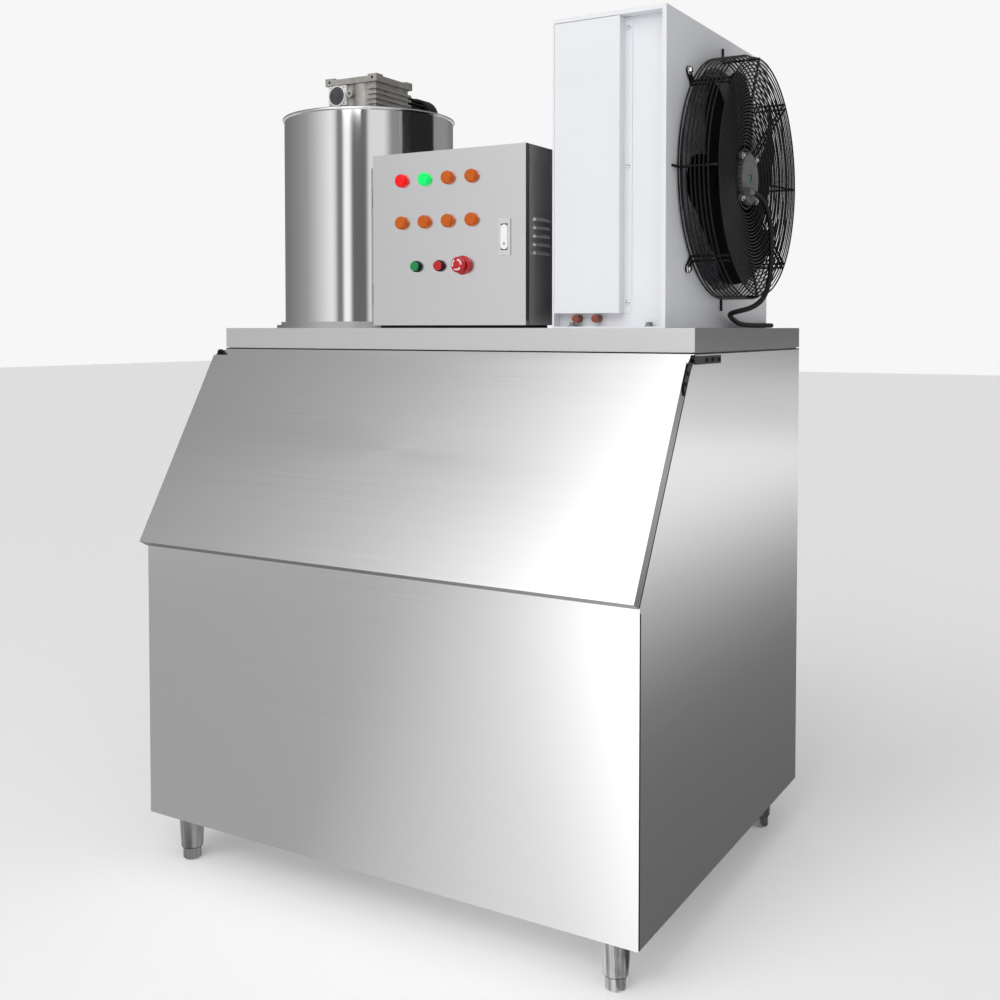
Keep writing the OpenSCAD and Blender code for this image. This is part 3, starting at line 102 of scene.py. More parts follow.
class Shader:
    """A material with one principled shader, textured in the part's own metres. Gloss is its specular level."""

    def __init__(self, name, colour, gloss=0.5, **values):
        self.material = bpy.data.materials.new(name)
        self.material.use_nodes = True
        self.tree = self.material.node_tree
        self.link = self.tree.links.new
        self.inputs = self.tree.nodes["Principled BSDF"].inputs
        self.colour = colour
        self.inputs["Base Color"].default_value = (*colour, 1)
        self.inputs["Specular IOR Level"].default_value = gloss
        for socket, value in values.items():
            self.inputs[socket.replace("_", " ").title()].default_value = value

    def node(self, kind, **values):
        made = self.tree.nodes.new(kind)
        for key, value in values.items():
            setattr(made, key, value)
        return made

    def noise(self, scale, detail=3):
        """Noise over the part, scale being a number or one for each axis, in steps per metre."""
        place = self.node("ShaderNodeTexCoord")
        stretch = self.node("ShaderNodeMapping")
        stretch.inputs["Scale"].default_value = scale if hasattr(scale, "__len__") else (scale,) * 3
        noise = self.node("ShaderNodeTexNoise")
        noise.inputs["Scale"].default_value = 1
        noise.inputs["Detail"].default_value = detail
        self.link(place.outputs["Object"], stretch.inputs["Vector"])
        self.link(stretch.outputs["Vector"], noise.inputs["Vector"])
        return noise.outputs["Fac"]

    def spread(self, value, low, high):
        """The noise's middle range stretched out to low and high."""
        ranged = self.node("ShaderNodeMapRange")
        ends = {"From Min": NOISE_RANGE[0], "From Max": NOISE_RANGE[1], "To Min": low, "To Max": high}
        for socket, end in ends.items():
            ranged.inputs[socket].default_value = end
        self.link(value, ranged.inputs["Value"])
        return ranged.outputs["Result"]

    def rough(self, value, low, high):
        self.link(self.spread(value, low, high), self.inputs["Roughness"])
        return self

    def rough_about(self, value, middle, span):
        return self.rough(value, middle + span[0], middle + span[1])

    def tint(self, value, shade):
        """Colour between the material's own and the same times shade."""
        mix = self.node("ShaderNodeMix", data_type="RGBA")
        mix.inputs["A"].default_value = (*(c * shade for c in self.colour), 1)
        mix.inputs["B"].default_value = (*self.colour, 1)
        self.link(self.spread(value, 0, 1), mix.inputs["Factor"])
        self.link(mix.outputs["Result"], self.inputs["Base Color"])
        return self

    def bump(self, value, strength, depth):
        bump = self.node("ShaderNodeBump")
        bump.inputs["Strength"].default_value = strength
        bump.inputs["Distance"].default_value = depth
        self.link(value, bump.inputs["Height"])
        self.link(bump.outputs["Normal"], self.inputs["Normal"])
        return self


# How often each kind of mark comes, in steps per metre
CLOUDS, SMUDGES, STAINS, BLOTCHES, CAST_STAINS, WEAR, LENS_STAINS = 3, 9, 25, 40, 60, 140, 260
SCUFFS, LENS_FACETS, GRIT, MOULD_GRAIN = 400, 500, 900, 1500
# The streaks are painted reflections on the legs, long along z
GRAIN_ACROSS, GRAIN_AND_STREAK_ALONG, REFLECTION_STREAKS = 900, 1.5, 120
# How far roughness goes below and above its middle
PAINT_SPAN, METAL_SPAN, PLASTIC_SPAN = (-0.05, 0.07), (-0.03, 0.06), (-0.06, 0.08)
STEEL = (0.7, 0.7, 0.71)
# How squarely a face looks along x or down to take the painted shade
SHADED_FACING = 0.7


def paint_side_shade(made, shade):
    """Painted shade: faces that look along x or down take the colour times shade."""
    normal = made.node("ShaderNodeSeparateXYZ")
    along = made.node("ShaderNodeMath", operation="ABSOLUTE")
    down = made.node("ShaderNodeMath", operation="MULTIPLY")
    down.inputs[1].default_value = -1
    most = made.node("ShaderNodeMath", operation="MAXIMUM")
    end = made.node("ShaderNodeMath", operation="GREATER_THAN")
    end.inputs[1].default_value = SHADED_FACING
    mix = made.node("ShaderNodeMix", data_type="RGBA", blend_type="MULTIPLY")
    mix.inputs["B"].default_value = grey(shade)
    made.link(made.node("ShaderNodeTexCoord").outputs["Normal"], normal.inputs["Vector"])
    made.link(normal.outputs["X"], along.inputs[0])
    made.link(normal.outputs["Z"], down.inputs[0])
    made.link(along.outputs["Value"], most.inputs[0])
    made.link(down.outputs["Value"], most.inputs[1])
    made.link(most.outputs["Value"], end.inputs[0])
    made.link(end.outputs["Value"], mix.inputs["Factor"])
    made.link(made.inputs["Base Color"].links[0].from_socket, mix.inputs["A"])
    made.link(mix.outputs["Result"], made.inputs["Base Color"])


def brushed(name, axis, colour=STEEL, rough=(0.19, 0.24), shade=0.98, relief=(0.012, 0.0001), painted_side_shade=None):
    """Steel brushed along one axis, with painted shade on faces that look along x or down where that shade is
    given.
    """
    scale = [GRAIN_AND_STREAK_ALONG if i == axis else GRAIN_ACROSS for i in range(3)]
    made = Shader(name, colour, metallic=1.0, anisotropic=0.25)
    tangent = made.node("ShaderNodeTangent", direction_type="RADIAL", axis="Z")
    made.link(tangent.outputs["Tangent"], made.inputs["Tangent"])
    grain = made.noise(scale, detail=4)
    made.rough(grain, *rough).tint(grain, shade).bump(grain, *relief)
    if painted_side_shade:
        paint_side_shade(made, painted_side_shade)
    return made.material


def painted(name, colour, rough, peel=700, strength=0.1, gloss=0.5, shade=0.95, depth=0.0003):
    made = Shader(name, colour, gloss)
    orange_peel = made.noise(peel, detail=2)
    made.rough_about(made.noise(SMUDGES), rough, PAINT_SPAN).tint(made.noise(CLOUDS), shade)
    return made.bump(orange_peel, strength, depth).material


def matt(name, colour, glow, shade=0.985):
    made = Shader(name, colour, gloss=0, roughness=1.0, emission_strength=glow)
    return made.tint(made.noise(GRIT, detail=2), shade).material


def cast(name, colour, metallic, rough=(0.42, 0.62), shade=0.72, relief=(0.35, 0.0005)):
    made = Shader(name, colour, metallic=metallic)
    grit = made.noise(GRIT, detail=5)
    made.rough(grit, *rough).tint(made.noise(CAST_STAINS, detail=4), shade)
    return made.bump(grit, *relief).material


# Polished metal with tinted marks: stains, or the legs' painted reflection streaks
def metal(name, colour, rough, shade, marks, detail=3):
    made = Shader(name, colour, metallic=1.0)
    made.rough_about(made.noise(WEAR), rough, METAL_SPAN).tint(made.noise(marks, detail), shade)
    return made.material


def polished(name, colour, rough, shade=0.92):
    return metal(name, colour, rough, shade, STAINS)


def reflection_streaked(name, colour, rough, shade):
    """Polished tube with painted reflections: light and dark streaks along z, the dark ones at shade times its
    colour.
    """
    return metal(name, colour, rough, shade, (REFLECTION_STREAKS, REFLECTION_STREAKS, GRAIN_AND_STREAK_ALONG), detail=2)


def moulded(name, colour, rough=0.4, gloss=0.5, shade=0.9, relief=(0.08, 0.0002)):
    made = Shader(name, colour, gloss)
    made.rough_about(made.noise(SCUFFS), rough, PLASTIC_SPAN).tint(made.noise(BLOTCHES), shade)
    return made.bump(made.noise(MOULD_GRAIN, detail=2), *relief).material


def glowing(name, colour, glow, shade=0.7, relief=(0.25, 0.0006)):
    """A lamp's lens: clear coat over a coloured, lightly lit body."""
    made = Shader(name, colour, gloss=0.25, roughness=0.35, coat_weight=0.15, coat_roughness=0.1,
                  emission_color=(*colour, 1), emission_strength=glow)
    made.tint(made.noise(LENS_STAINS), shade)
    return made.bump(made.noise(LENS_FACETS, detail=1), *relief).material


STEEL_X = brushed("steel_along_x", axis=0)
STEEL_Y = brushed("steel_along_y", axis=1)
STEEL_Z = brushed("steel_along_z", axis=2, rough=(0.06, 0.1))
# The slab's and the bin door's sides and undersides take a painted shade
STEEL_SHADED_SIDES = brushed("steel_shaded_sides", axis=0, painted_side_shade=0.35)
LOOKS = {
    "stainless": STEEL_X,
    "bright_steel": polished("bright_steel", (0.72, 0.72, 0.73), rough=0.12),
    "plain_steel": brushed("plain_steel", axis=2, colour=(0.5, 0.5, 0.51), rough=(0.3, 0.42)),
    "cast_alloy": cast("cast_alloy", (0.56, 0.54, 0.5), metallic=0.85),
    "cast_dark": cast("cast_dark", (0.09, 0.09, 0.1), metallic=0.6),
    "black_paint": painted(
        "black_paint", (0.005, 0.005, 0.006), rough=0.36, peel=1200, strength=0.2, gloss=0.2),
    "black_plastic": moulded("black_plastic", (0.004, 0.004, 0.005), rough=0.5, gloss=0.15),
    "black_rubber": moulded("black_rubber", (0.007, 0.007, 0.008), rough=0.55, gloss=0.25),
    "white_paint": painted("white_paint", (0.8, 0.81, 0.84), rough=0.34),
    "white_plastic": moulded("white_plastic", (0.75, 0.75, 0.72)),
    "lens_red": glowing("lens_red", (0.8, 0, 0.002), glow=0.35),
    "lens_green": glowing("lens_green", (0, 0.7, 0.13), glow=0.55),
    "lens_amber": glowing("lens_amber", (0.5, 0.09, 0), glow=0.25),
    "button_green": moulded("button_green", (0, 0.24, 0.06), rough=0.3),
    "button_red": moulded("button_red", (0.5, 0.001, 0.008), rough=0.3),
    "copper": polished("copper", (0.3, 0.1, 0.07), rough=0.34),
}
NODE_LOOKS = {
    "bin_left": STEEL_Y,
    "bin_right": STEEL_Y,
    "bin_top": STEEL_SHADED_SIDES,
    "bin_door": STEEL_SHADED_SIDES,
    "drum_casing": STEEL_Z,
    "condenser_coil": LOOKS["plain_steel"],
    "control_box": brushed("steel_box", axis=2, rough=(0.42, 0.5)),
    "fan_motor": cast("motor_grey", (0.15, 0.155, 0.16), metallic=0.4),
    "bearing_flange": cast("flange_pale", (0.85, 0.85, 0.83), metallic=0.2),
    "lock_plate": painted("lock_satin", (0.62, 0.62, 0.63), rough=0.3, peel=1500, strength=0.05),
    "lock_lever": painted("lever_white", (0.88, 0.88, 0.88), rough=0.28, peel=1500, strength=0.05),
    "estop_collar": LOOKS["button_red"],
    "casing_bolts": polished("bolt_zinc", (0.3, 0.3, 0.31), rough=0.2),
    "reducer_housing": cast("reducer_alloy", (0.46, 0.445, 0.42), metallic=0.85),
    # The legs and feet carry painted reflection streaks
    **dict.fromkeys(
        ["leg_sockets", "foot_front_left", "foot_front_right", "foot_rear_left", "foot_rear_right"],
        reflection_streaked("leg_chrome", (0.6, 0.6, 0.61), rough=0.14, shade=0.3)),
}
WHEEL_BLACK = moulded("wheel_black", (0.002, 0.002, 0.003), rough=0.7, gloss=0.04)

# Folded and moulded edges, in metres
EDGES = {
    0.0015: ["bin_front", "bin_back", "bin_left", "bin_right", "bin_top", "bin_header", "bin_door",
             "control_box", "control_door", "condenser_casing", "condenser_cover"],
    0.0008: ["hinge_brackets", "hinge_straps", "bearing_flange", "lock_plate", "lock_lever"],
}
EDGE_ANGLE = math.radians(40)


def dress_nodes():
    for part in frame["record"]["subparts"]:
        materials = NODES[part["node"]].data.materials
        materials.clear()
        materials.append(NODE_LOOKS.get(part["node"], LOOKS[part["material_slot"]]))
    for width, names in EDGES.items():
        for name in names:
            bevel = NODES[name].modifiers.new("folded_edges", "BEVEL")
            bevel.width = width
            bevel.segments = 2
            bevel.limit_method = "ANGLE"
            bevel.angle_limit = EDGE_ANGLE
            bevel.harden_normals = False


# Brightness of the studio by the angle in degrees to the right of the camera, at eye level and high up
LEVEL = [
    (-180, 0.2), (-140, 0.22), (-110, 0.32), (-88, 0.42), (-74, 0.6), (-58, 0.88), (-46, 1.1), (-41, 0.9),
    (-36, 0.25), (-31, 0.25), (-27, 1.25), (-21, 1.25), (-16, 0.18), (1, 0.17), (6, 0.95), (26, 0.95),
    (36, 0.35), (60, 0.3), (95, 0.3), (112, 0.35), (132, 0.35), (150, 0.25), (180, 0.2),
]
HIGH = [
    (-180, 0.25), (-115, 0.25), (-98, 0.3), (-79, 0.5), (-70, 1.15), (-62, 2.4), (-48, 2.3), (-34, 1.5),
    (0, 1.4), (40, 0.7), (75, 0.3), (130, 0.3), (180, 0.25),
]
# Upward part of the direction over which the one gives way to the other
RISE = (0.25, 0.5)
BRIGHTEST = 2.4
BACKDROP = 0.93
# The one light: place, target, size and power
LIGHT_AT, LIGHT_TARGET, LIGHT_SIZE, LIGHT_POWER = (0.5, -3.2, 2.6), (0.4, -2, 0), (1.6, 1), 22


def grey_ramp(tree, stops):
    """A ramp through (position, brightness) stops, brightness as a share of the brightest."""
    ramp = tree.nodes.new("ShaderNodeValToRGB")
    elements = ramp.color_ramp.elements
    while len(elements) < len(stops):
        elements.new(1)
    for element, (at, value) in zip(elements, stops):
        element.position = at
        element.color = grey(value / BRIGHTEST)
    return ramp


def add_world():
    """A studio that only the object sees, with a plain backdrop for the camera."""
    world = bpy.data.worlds.new("studio")
    world.use_nodes = True
    tree = world.node_tree
    node, link = tree.nodes.new, tree.links.new
    place = node("ShaderNodeTexCoord")
    turn = node("ShaderNodeMapping")
    turn.inputs["Rotation"].default_value.z = math.pi / 2 - AZIMUTH
    angle = node("ShaderNodeTexGradient")
    angle.gradient_type = "RADIAL"
    level, high = (
        grey_ramp(tree, [(0.5 + a / 360, value) for a, value in stops]) for stops in (LEVEL, HIGH))
    parts = node("ShaderNodeSeparateXYZ")
    rise = node("ShaderNodeMapRange")
    rise.inputs["From Min"].default_value, rise.inputs["From Max"].default_value = RISE
    studio = node("ShaderNodeMix")
    studio.data_type = "RGBA"
    rays = node("ShaderNodeLightPath")
    lit = tree.nodes["Background"]
    lit.inputs["Strength"].default_value = BRIGHTEST
    seen = node("ShaderNodeBackground")
    seen.inputs["Color"].default_value = grey(BACKDROP)
    choice = node("ShaderNodeMixShader")
    link(place.outputs["Generated"], turn.inputs["Vector"])
    link(turn.outputs["Vector"], angle.inputs["Vector"])
    link(angle.outputs["Fac"], level.inputs["Fac"])
    link(angle.outputs["Fac"], high.inputs["Fac"])
    link(place.outputs["Generated"], parts.inputs["Vector"])
    link(parts.outputs["Z"], rise.inputs["Value"])
    link(rise.outputs["Result"], studio.inputs["Factor"])
    link(level.outputs["Color"], studio.inputs["A"])
    link(high.outputs["Color"], studio.inputs["B"])
    link(studio.outputs["Result"], lit.inputs["Color"])
    link(rays.outputs["Is Camera Ray"], choice.inputs["Fac"])
    link(lit.outputs["Background"], choice.inputs[1])
    link(seen.outputs["Background"], choice.inputs[2])
    link(choice.outputs["Shader"], tree.nodes["World Output"].inputs["Surface"])
    bpy.context.scene.world = world
    bpy.context.scene.view_settings.view_transform = "Standard"


def add_light():
    data = bpy.data.lights.new("front", "AREA")
    data.shape = "RECTANGLE"
    data.size, data.size_y = LIGHT_SIZE
    data.energy = LIGHT_POWER
    light = new_object("front", data)
    aim(light, LIGHT_AT, Vector(LIGHT_TARGET) - Vector(LIGHT_AT))
    light.visible_camera = False


# Cards seen only in the steel: middle, turn, half size, share over which they fade into the floor at their
# near end, and brightness along their own x axis
CARD_Z = -0.0002
FADED = 0.5
SHARP = 0.001
CARDS = {
    "front_card": ((-1.52, -2.82, CARD_Z), (0, 0, -AZIMUTH), (2.6, 3.2), 0.45,
                   [(0, 0.44), (0.48, 0.46), (0.6, 1.05), (0.7, 2.2), (0.78, 2.2), (0.98, 0.5)]),
    "side_card": ((7.55, 3.6, CARD_Z), (0, 0, 0), (7, 7), SHARP,
                  [(0, 0.14), (0.05, 0.17), (0.09, 0.5), (0.15, 1.05), (0.4, 1.3), (1, 1.3)]),
    "far_card": ((14.5, 12, 0.75), (0, math.pi / 2, 0), (0.75, 16), SHARP, [(0, 1.4), (1, 1.4)]),
}
FLOOR_HALF, FLOOR_Z, FLOOR_COLOUR, FLOOR_GLOW = (30, 30), -0.0005, (0.93, 0.93, 0.93), 0.13


def add_sheet(name, half, z, material):
    """A level sheet of the studio, given by its half size."""
    mesh = bpy.data.meshes.new(name)
    x, y = half
    mesh.from_pydata([(-x, -y, z), (x, -y, z), (x, y, z), (-x, y, z)], [], [(0, 1, 2, 3)])
    mesh.materials.append(material)
    sheet = new_object(name, mesh)
    return sheet


def shining(name, share, stops):
    """A card that shines by a ramp along its own x axis and fades into the floor at its near end."""
    made = Shader(name, (0, 0, 0), roughness=1.0, emission_strength=BRIGHTEST)
    place = made.node("ShaderNodeTexCoord")
    ramp = grey_ramp(made.tree, stops)
    parts = made.node("ShaderNodeSeparateXYZ")
    fade = made.node("ShaderNodeMapRange", interpolation_type="SMOOTHSTEP")
    fade.inputs["From Max"].default_value = share
    mix = made.node("ShaderNodeMix", data_type="RGBA")
    mix.inputs["A"].default_value = grey(FADED / BRIGHTEST)
    made.link(place.outputs["Generated"], parts.inputs["Vector"])
    made.link(parts.outputs["X"], ramp.inputs["Fac"])
    made.link(parts.outputs["Y"], fade.inputs["Value"])
    made.link(fade.outputs["Result"], mix.inputs["Factor"])
    made.link(ramp.outputs["Color"], mix.inputs["B"])
    made.link(mix.outputs["Result"], made.inputs["Emission Color"])
    return made.material


def add_floor():
    add_sheet("floor", FLOOR_HALF, FLOOR_Z, matt("floor_pale", FLOOR_COLOUR, FLOOR_GLOW))
    for name, (middle, turn, half, fade, stops) in CARDS.items():
        card = add_sheet(name, half, 0, shining(name, fade, stops))
        card.location = middle
        card.rotation_euler = turn
        card.visible_camera = False
        card.visible_diffuse = False
        card.visible_shadow = False


# Fan cable, on the same curve as its solid
CABLE_R = 0.0055
CABLE_STEPS = 5
CABLE_ROUTE = [
    (1201, 574, 1494), (1203, 594, 1493), (1209, 616, 1485), (1215, 634, 1467), (1219, 645, 1440),
    (1222, 649, 1406), (1224, 645, 1370), (1226, 634, 1335), (1228, 616, 1304), (1228, 594, 1279),
    (1222, 573, 1260), (1208, 557, 1248), (1190, 549, 1242), (1172, 552, 1238), (1159, 567, 1234),
    (1152, 591, 1229), (1149, 622, 1222), (1147, 660, 1215), (1146, 705, 1212), (1145, 766.33, 1211),
    (1145, 827.67, 1211), (1145, 889, 1211), (1139, 911, 1211), (1123, 927, 1211), (1101, 933, 1211),
    (1042.33, 934, 1211), (983.67, 934, 1211), (925, 932, 1211), (890, 928, 1211), (870, 919, 1211),
    (859, 899, 1211), (850, 863, 1211), (843, 810, 1211), (840.24, 749.15, 1211), (830.58, 688.29, 1211),
    (812.64, 631.49, 1211), (779.52, 570.64, 1212), (745.02, 521.95, 1218), (718.8, 477.33, 1228),
    (707.07, 440.82, 1237), (705, 404.3, 1240),
]


def smooth_route(points, steps):
    """A Catmull-Rom curve through the points."""
    ends = [points[0], *points, points[-1]]
    route = []
    for a, b, c, d in zip(ends, ends[1:], ends[2:], ends[3:]):
        for i in range(steps):
            t = i / steps
            route.append(0.5 * (2 * b + (c - a) * t + (2 * a - 5 * b + 4 * c - d) * t ** 2
                                + (3 * b - a - 3 * c + d) * t ** 3))
    return [*route, points[-1]]


def add_cable():
    route = smooth_route([from_bin(*p) for p in CABLE_ROUTE], CABLE_STEPS)
    data = bpy.data.curves.new("cable", "CURVE")
    data.dimensions = "3D"
    data.bevel_depth = CABLE_R
    data.bevel_resolution = 4
    data.use_fill_caps = True
    spline = data.splines.new("POLY")
    spline.points.add(len(route) - 1)
    for point, at in zip(spline.points, route):
        point.co = (*at, 1)
    spline.use_smooth = True
    data.materials.append(LOOKS["black_rubber"])
    cable = new_object("cable", data)
    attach(cable, "machine")
    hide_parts("fan_cable")


# Small parts, in the source's millimetres
RIGHT, LEFT, FRONT, UP = (1, 0, 0), (-1, 0, 0), (0, -1, 0), (0, 0, 1)
ON_BIN = Matrix.Translation(from_bin(0, 0, 0))
SMOOTH_ANGLE = math.radians(35)


def facing(at, normal):
    """The place where a small part's z axis points along the normal."""
    return Matrix.Translation(from_bin(*at)) @ Vector(normal).to_track_quat("Z", "Y").to_matrix().to_4x4()


def polar(r, turn):
    return (r * math.cos(turn), r * math.sin(turn))


def vertex(bm, place, x, y, z):
    return bm.verts.new(place @ (Vector((x, y, z)) / MM))


def skin(bm, rings, hollow=False):
    """Faces from each ring of points to the next, and back to the first where hollow or else over both ends."""
    for low, high in zip(rings, rings[1:] + rings[:1] if hollow else rings[1:]):
        for i in range(len(low)):
            j = (i + 1) % len(low)
            bm.faces.new((low[i], low[j], high[j], high[i]))
    if not hollow:
        bm.faces.new(rings[0][::-1])
        bm.faces.new(rings[-1])


def lathe(bm, place, profile, sides, hollow=False):
    """A closed turned shape through (radius, height) points, or a ring where they go round."""
    turns = [2 * math.pi * (i + 0.5) / sides for i in range(sides)]
    skin(bm, [[vertex(bm, place, *polar(r, a), z) for a in turns] for r, z in profile], hollow)


def prism(bm, place, outline, low, high):
    """A closed shape of one outline between two heights."""
    skin(bm, [[vertex(bm, place, x, y, z) for x, y in outline] for z in (low, high)])


def rectangle(x0, y0, x1, y1):
    return [(x0, y0), (x1, y0), (x1, y1), (x0, y1)]


def add_piece(name, bm, body, slot, look=None, smooth=True):
    mesh = bpy.data.meshes.new(name)
    bmesh.ops.recalc_face_normals(bm, faces=bm.faces)
    bm.to_mesh(mesh)
    bm.free()
    mesh.materials.append(look or LOOKS[slot])
    piece = new_object(name, mesh)
    if smooth:
        mesh.shade_smooth()
        mesh.set_sharp_from_angle(angle=SMOOTH_ANGLE)
    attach(piece, body)
    return piece


# Heads of fasteners as (radius, height) times the head's radius, sunk a little into what they hold
SUNK = 0.2
PAN_HEAD = [(1, 0.3), (0.85, 0.55), (0.55, 0.68), (0.45, 0.66), (0.42, 0.3)]
WASHER = [(1.45, 0.2), (1.38, 0.26)]
HEX_HEAD = [(1, 0.2), (1, 0.8), (0.88, 0.95)]
PAN_SIDES, WASHER_SIDES, HEX_SIDES = 20, 28, 6
BIN_W = 1200
HINGE_Y, HINGE_Z = 237.874, 1146.01
SLOPE = math.radians(30)
STRAP_T = 3
STRAP_SCREWS = [(-59, 10), (-36, 9)]
LEAF_SCREWS = [(310, 1143), (345, 1143), (379, 1143)]
HINGE_SCREW_R = 4.2
COVER_SCREW_X, COVER_FACE_Y, COVER_SCREW_R = 1037, 306, 4.5
COVER_SCREW_Z = [1256, 1530, 1804]
FAN_AT = (1128, 590, 1525)
QUARTERS = [math.radians(a) for a in (45, 135, 225, 315)]
# Distance from the fan's axis, height over the casing and radius of the bolts
GUARD_BOLT = (283, 5, 6.5)
MOTOR_BOLT = (63, 64.1, 5)


def scaled(profile, r):
    return [(a * r, b * r) for a, b in profile]


def pan_screw(bm, at, normal, r):
    """A domed head with a round socket."""
    lathe(bm, facing(at, normal), [(r, -SUNK), *scaled(PAN_HEAD, r)], PAN_SIDES)


def hex_bolt(bm, at, normal, r):
    """A chamfered hexagon head on a washer."""
    place = facing(at, normal)
    lathe(bm, place, [(WASHER[0][0] * r, -SUNK), *scaled(WASHER, r)], WASHER_SIDES)
    lathe(bm, place, scaled(HEX_HEAD, r), HEX_SIDES)


def both_sides(bm, points):
    """Screws through the hinges' outer faces, right and left."""
    for y, z in points:
        pan_screw(bm, (BIN_W + STRAP_T, y, z), RIGHT, HINGE_SCREW_R)
        pan_screw(bm, (-STRAP_T, y, z), LEFT, HINGE_SCREW_R)


def fan_bolts(bolt):
    """Four bolts round the fan."""
    bm = bmesh.new()
    from_axis, out, r = bolt
    for turn in QUARTERS:
        y, z = polar(from_axis, turn)
        hex_bolt(bm, Vector(FAN_AT) + Vector((out, y, z)), RIGHT, r)
    return bm


def add_fasteners():
    straps, leaves, cover = (bmesh.new() for _ in range(3))
    both_sides(straps, [
        (HINGE_Y + u * math.sin(SLOPE) - n * math.cos(SLOPE),
         HINGE_Z + u * math.cos(SLOPE) + n * math.sin(SLOPE)) for u, n in STRAP_SCREWS])
    both_sides(leaves, LEAF_SCREWS)
    for z in COVER_SCREW_Z:
        pan_screw(cover, (COVER_SCREW_X, COVER_FACE_Y, z), FRONT, COVER_SCREW_R)
    add_piece("strap_screws", straps, "bin_door", "black_paint")
    add_piece("leaf_screws", leaves, "machine", "black_paint")
    add_piece("cover_screws", cover, "machine", "bright_steel")
    add_piece("guard_bolts", fan_bolts(GUARD_BOLT), "machine", "bright_steel")
    add_piece("motor_bolts", fan_bolts(MOTOR_BOLT), "machine", "bright_steel")


ESTOP_AT = (673, 248.302, 1339)
ESTOP_FACE = 13
ARROW_R = (9.2, 12)
ARROW_STARTS, ARROW_ARC, ARROW_STEPS = (0, 120, 240), 62, 10
# How far an arrow's point reaches on, in radians, and its barbs to each side
ARROW_TIP, ARROW_BARB = 0.42, 1.6
ARROW_DEPTH, ARROW_LIFT = 1.6, 0.25


def add_estop_arrows():
    """Three arrows round the emergency stop's head, each with its point."""
    bm = bmesh.new()
    inner, outer = ARROW_R
    for start in ARROW_STARTS:
        turns = [math.radians(start + ARROW_ARC * i / ARROW_STEPS) for i in range(ARROW_STEPS + 1)]
        end = turns[-1]
        outline = [polar(outer, a) for a in turns]
        outline += [polar(outer + ARROW_BARB, end), polar((inner + outer) / 2, end + ARROW_TIP),
                    polar(inner - ARROW_BARB, end)]
        outline += [polar(inner, a) for a in reversed(turns)]
        prism(bm, facing(ESTOP_AT, FRONT), outline, ESTOP_FACE - ARROW_DEPTH, ESTOP_FACE + ARROW_LIFT)
    add_piece("estop_arrows", bm, "estop_head", "white_plastic", smooth=False)


KEY_AT = (777, 256.302, 1381)
KEY_BARREL = [(3.3, -6), (3.3, -0.4), (3, -0.1), (2.2, -0.1), (2.1, -0.5)]
KEY_SLOT = [(-0.4, -1.7), (0.4, -1.7), (0.5, 0), (0.4, 1.7), (-0.4, 1.7), (-0.5, 0)]
KEY_SLOT_Z = (-1, -0.4)


def add_key_barrel():
    """The lock's key barrel in its lever, with a slot across it."""
    place = facing(KEY_AT, FRONT)
    barrel, slit = bmesh.new(), bmesh.new()
    lathe(barrel, place, KEY_BARREL, sides=24)
    prism(slit, place, KEY_SLOT, *KEY_SLOT_Z)
    add_piece("key_barrel", barrel, "lock_lever", "bright_steel")
    add_piece("key_slot", slit, "lock_lever", "black_plastic", smooth=False)


PANEL_Y = 260.302
LAMP_X = [517, 577, 637, 697]
LAMP_Z = [1527, 1435]
# Columns and rows of the lamps
LAMP_COLOURS = {
    "red": [(0, 0)], "green": [(1, 0)], "amber": [(2, 0), (3, 0), (0, 1), (1, 1), (2, 1), (3, 1)]}
COLLAR = [(13.1, 6.2), (13.1, 8), (13.9, 8), (14.5, 6.8), (14.6, 0), (14.05, 0), (14.05, 6.2)]
SKIRT = [(14.1, 0), (20.5, 0), (20.5, 1.6), (18.6, 4.2), (15.5, 5.6), (14.1, 5.6)]


def add_panel_rims():
    """Coloured collars round the lamps, and the emergency stop's skirt."""
    for colour, cells in LAMP_COLOURS.items():
        bm = bmesh.new()
        for column, row in cells:
            lathe(bm, facing((LAMP_X[column], PANEL_Y, LAMP_Z[row]), FRONT), COLLAR, sides=32, hollow=True)
        add_piece("collars_" + colour, bm, "control_door", "lens_" + colour)
    bm = bmesh.new()
    lathe(bm, facing((ESTOP_AT[0], PANEL_Y, ESTOP_AT[2]), FRONT), SKIRT, sides=40, hollow=True)
    add_piece("estop_skirt", bm, "control_door", "button_red")


# A black strip standing for the shadow under the control box, in metres
SHADOW_STRIP_IN, SHADOW_STRIP_W, SHADOW_STRIP_H = 0.012, 0.01, 0.006


def add_box_shadow_strip():
    """A black strip all round between the control box and the slab, as a painted shadow in the gap under the
    box.
    """
    bm = bmesh.new()
    low, high = (Vector(end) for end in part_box("control_box"))
    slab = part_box("bin_top")[1][2]
    outer, inner = (
        rectangle(low.x + inset, low.y + inset, high.x - inset, high.y - inset)
        for inset in (SHADOW_STRIP_IN, SHADOW_STRIP_IN + SHADOW_STRIP_W))
    around = [(outer, slab), (outer, slab + SHADOW_STRIP_H), (inner, slab + SHADOW_STRIP_H), (inner, slab)]
    skin(bm, [[bm.verts.new((x, y, z)) for x, y in outline] for outline, z in around], hollow=True)
    add_piece("box_shadow_strip", bm, "machine", "black_rubber", smooth=False)


WHEEL_BLADES = 5
WHEEL_R = (56, 226)
WHEEL_ACROSS, WHEEL_ALONG = 12, 12
# Where a blade starts and ends, at the hub and at the tip: turn in degrees and height over the casing
WHEEL_EDGES = {"front": ((-36, 10), (-26, 15)), "back": ((36, 40), (54, 60))}
WHEEL_SWEEP, WHEEL_CAMBER = 16, 4
BLADE_T = 2.5
WHEEL_HUB = [(58, -56), (60, -54), (60, 10), (57, 13), (20, 14), (18, 12)]


def between(ends, share):
    """The point at a share of the way from one end to the other."""
    return [a + (b - a) * share for a, b in zip(*ends)]


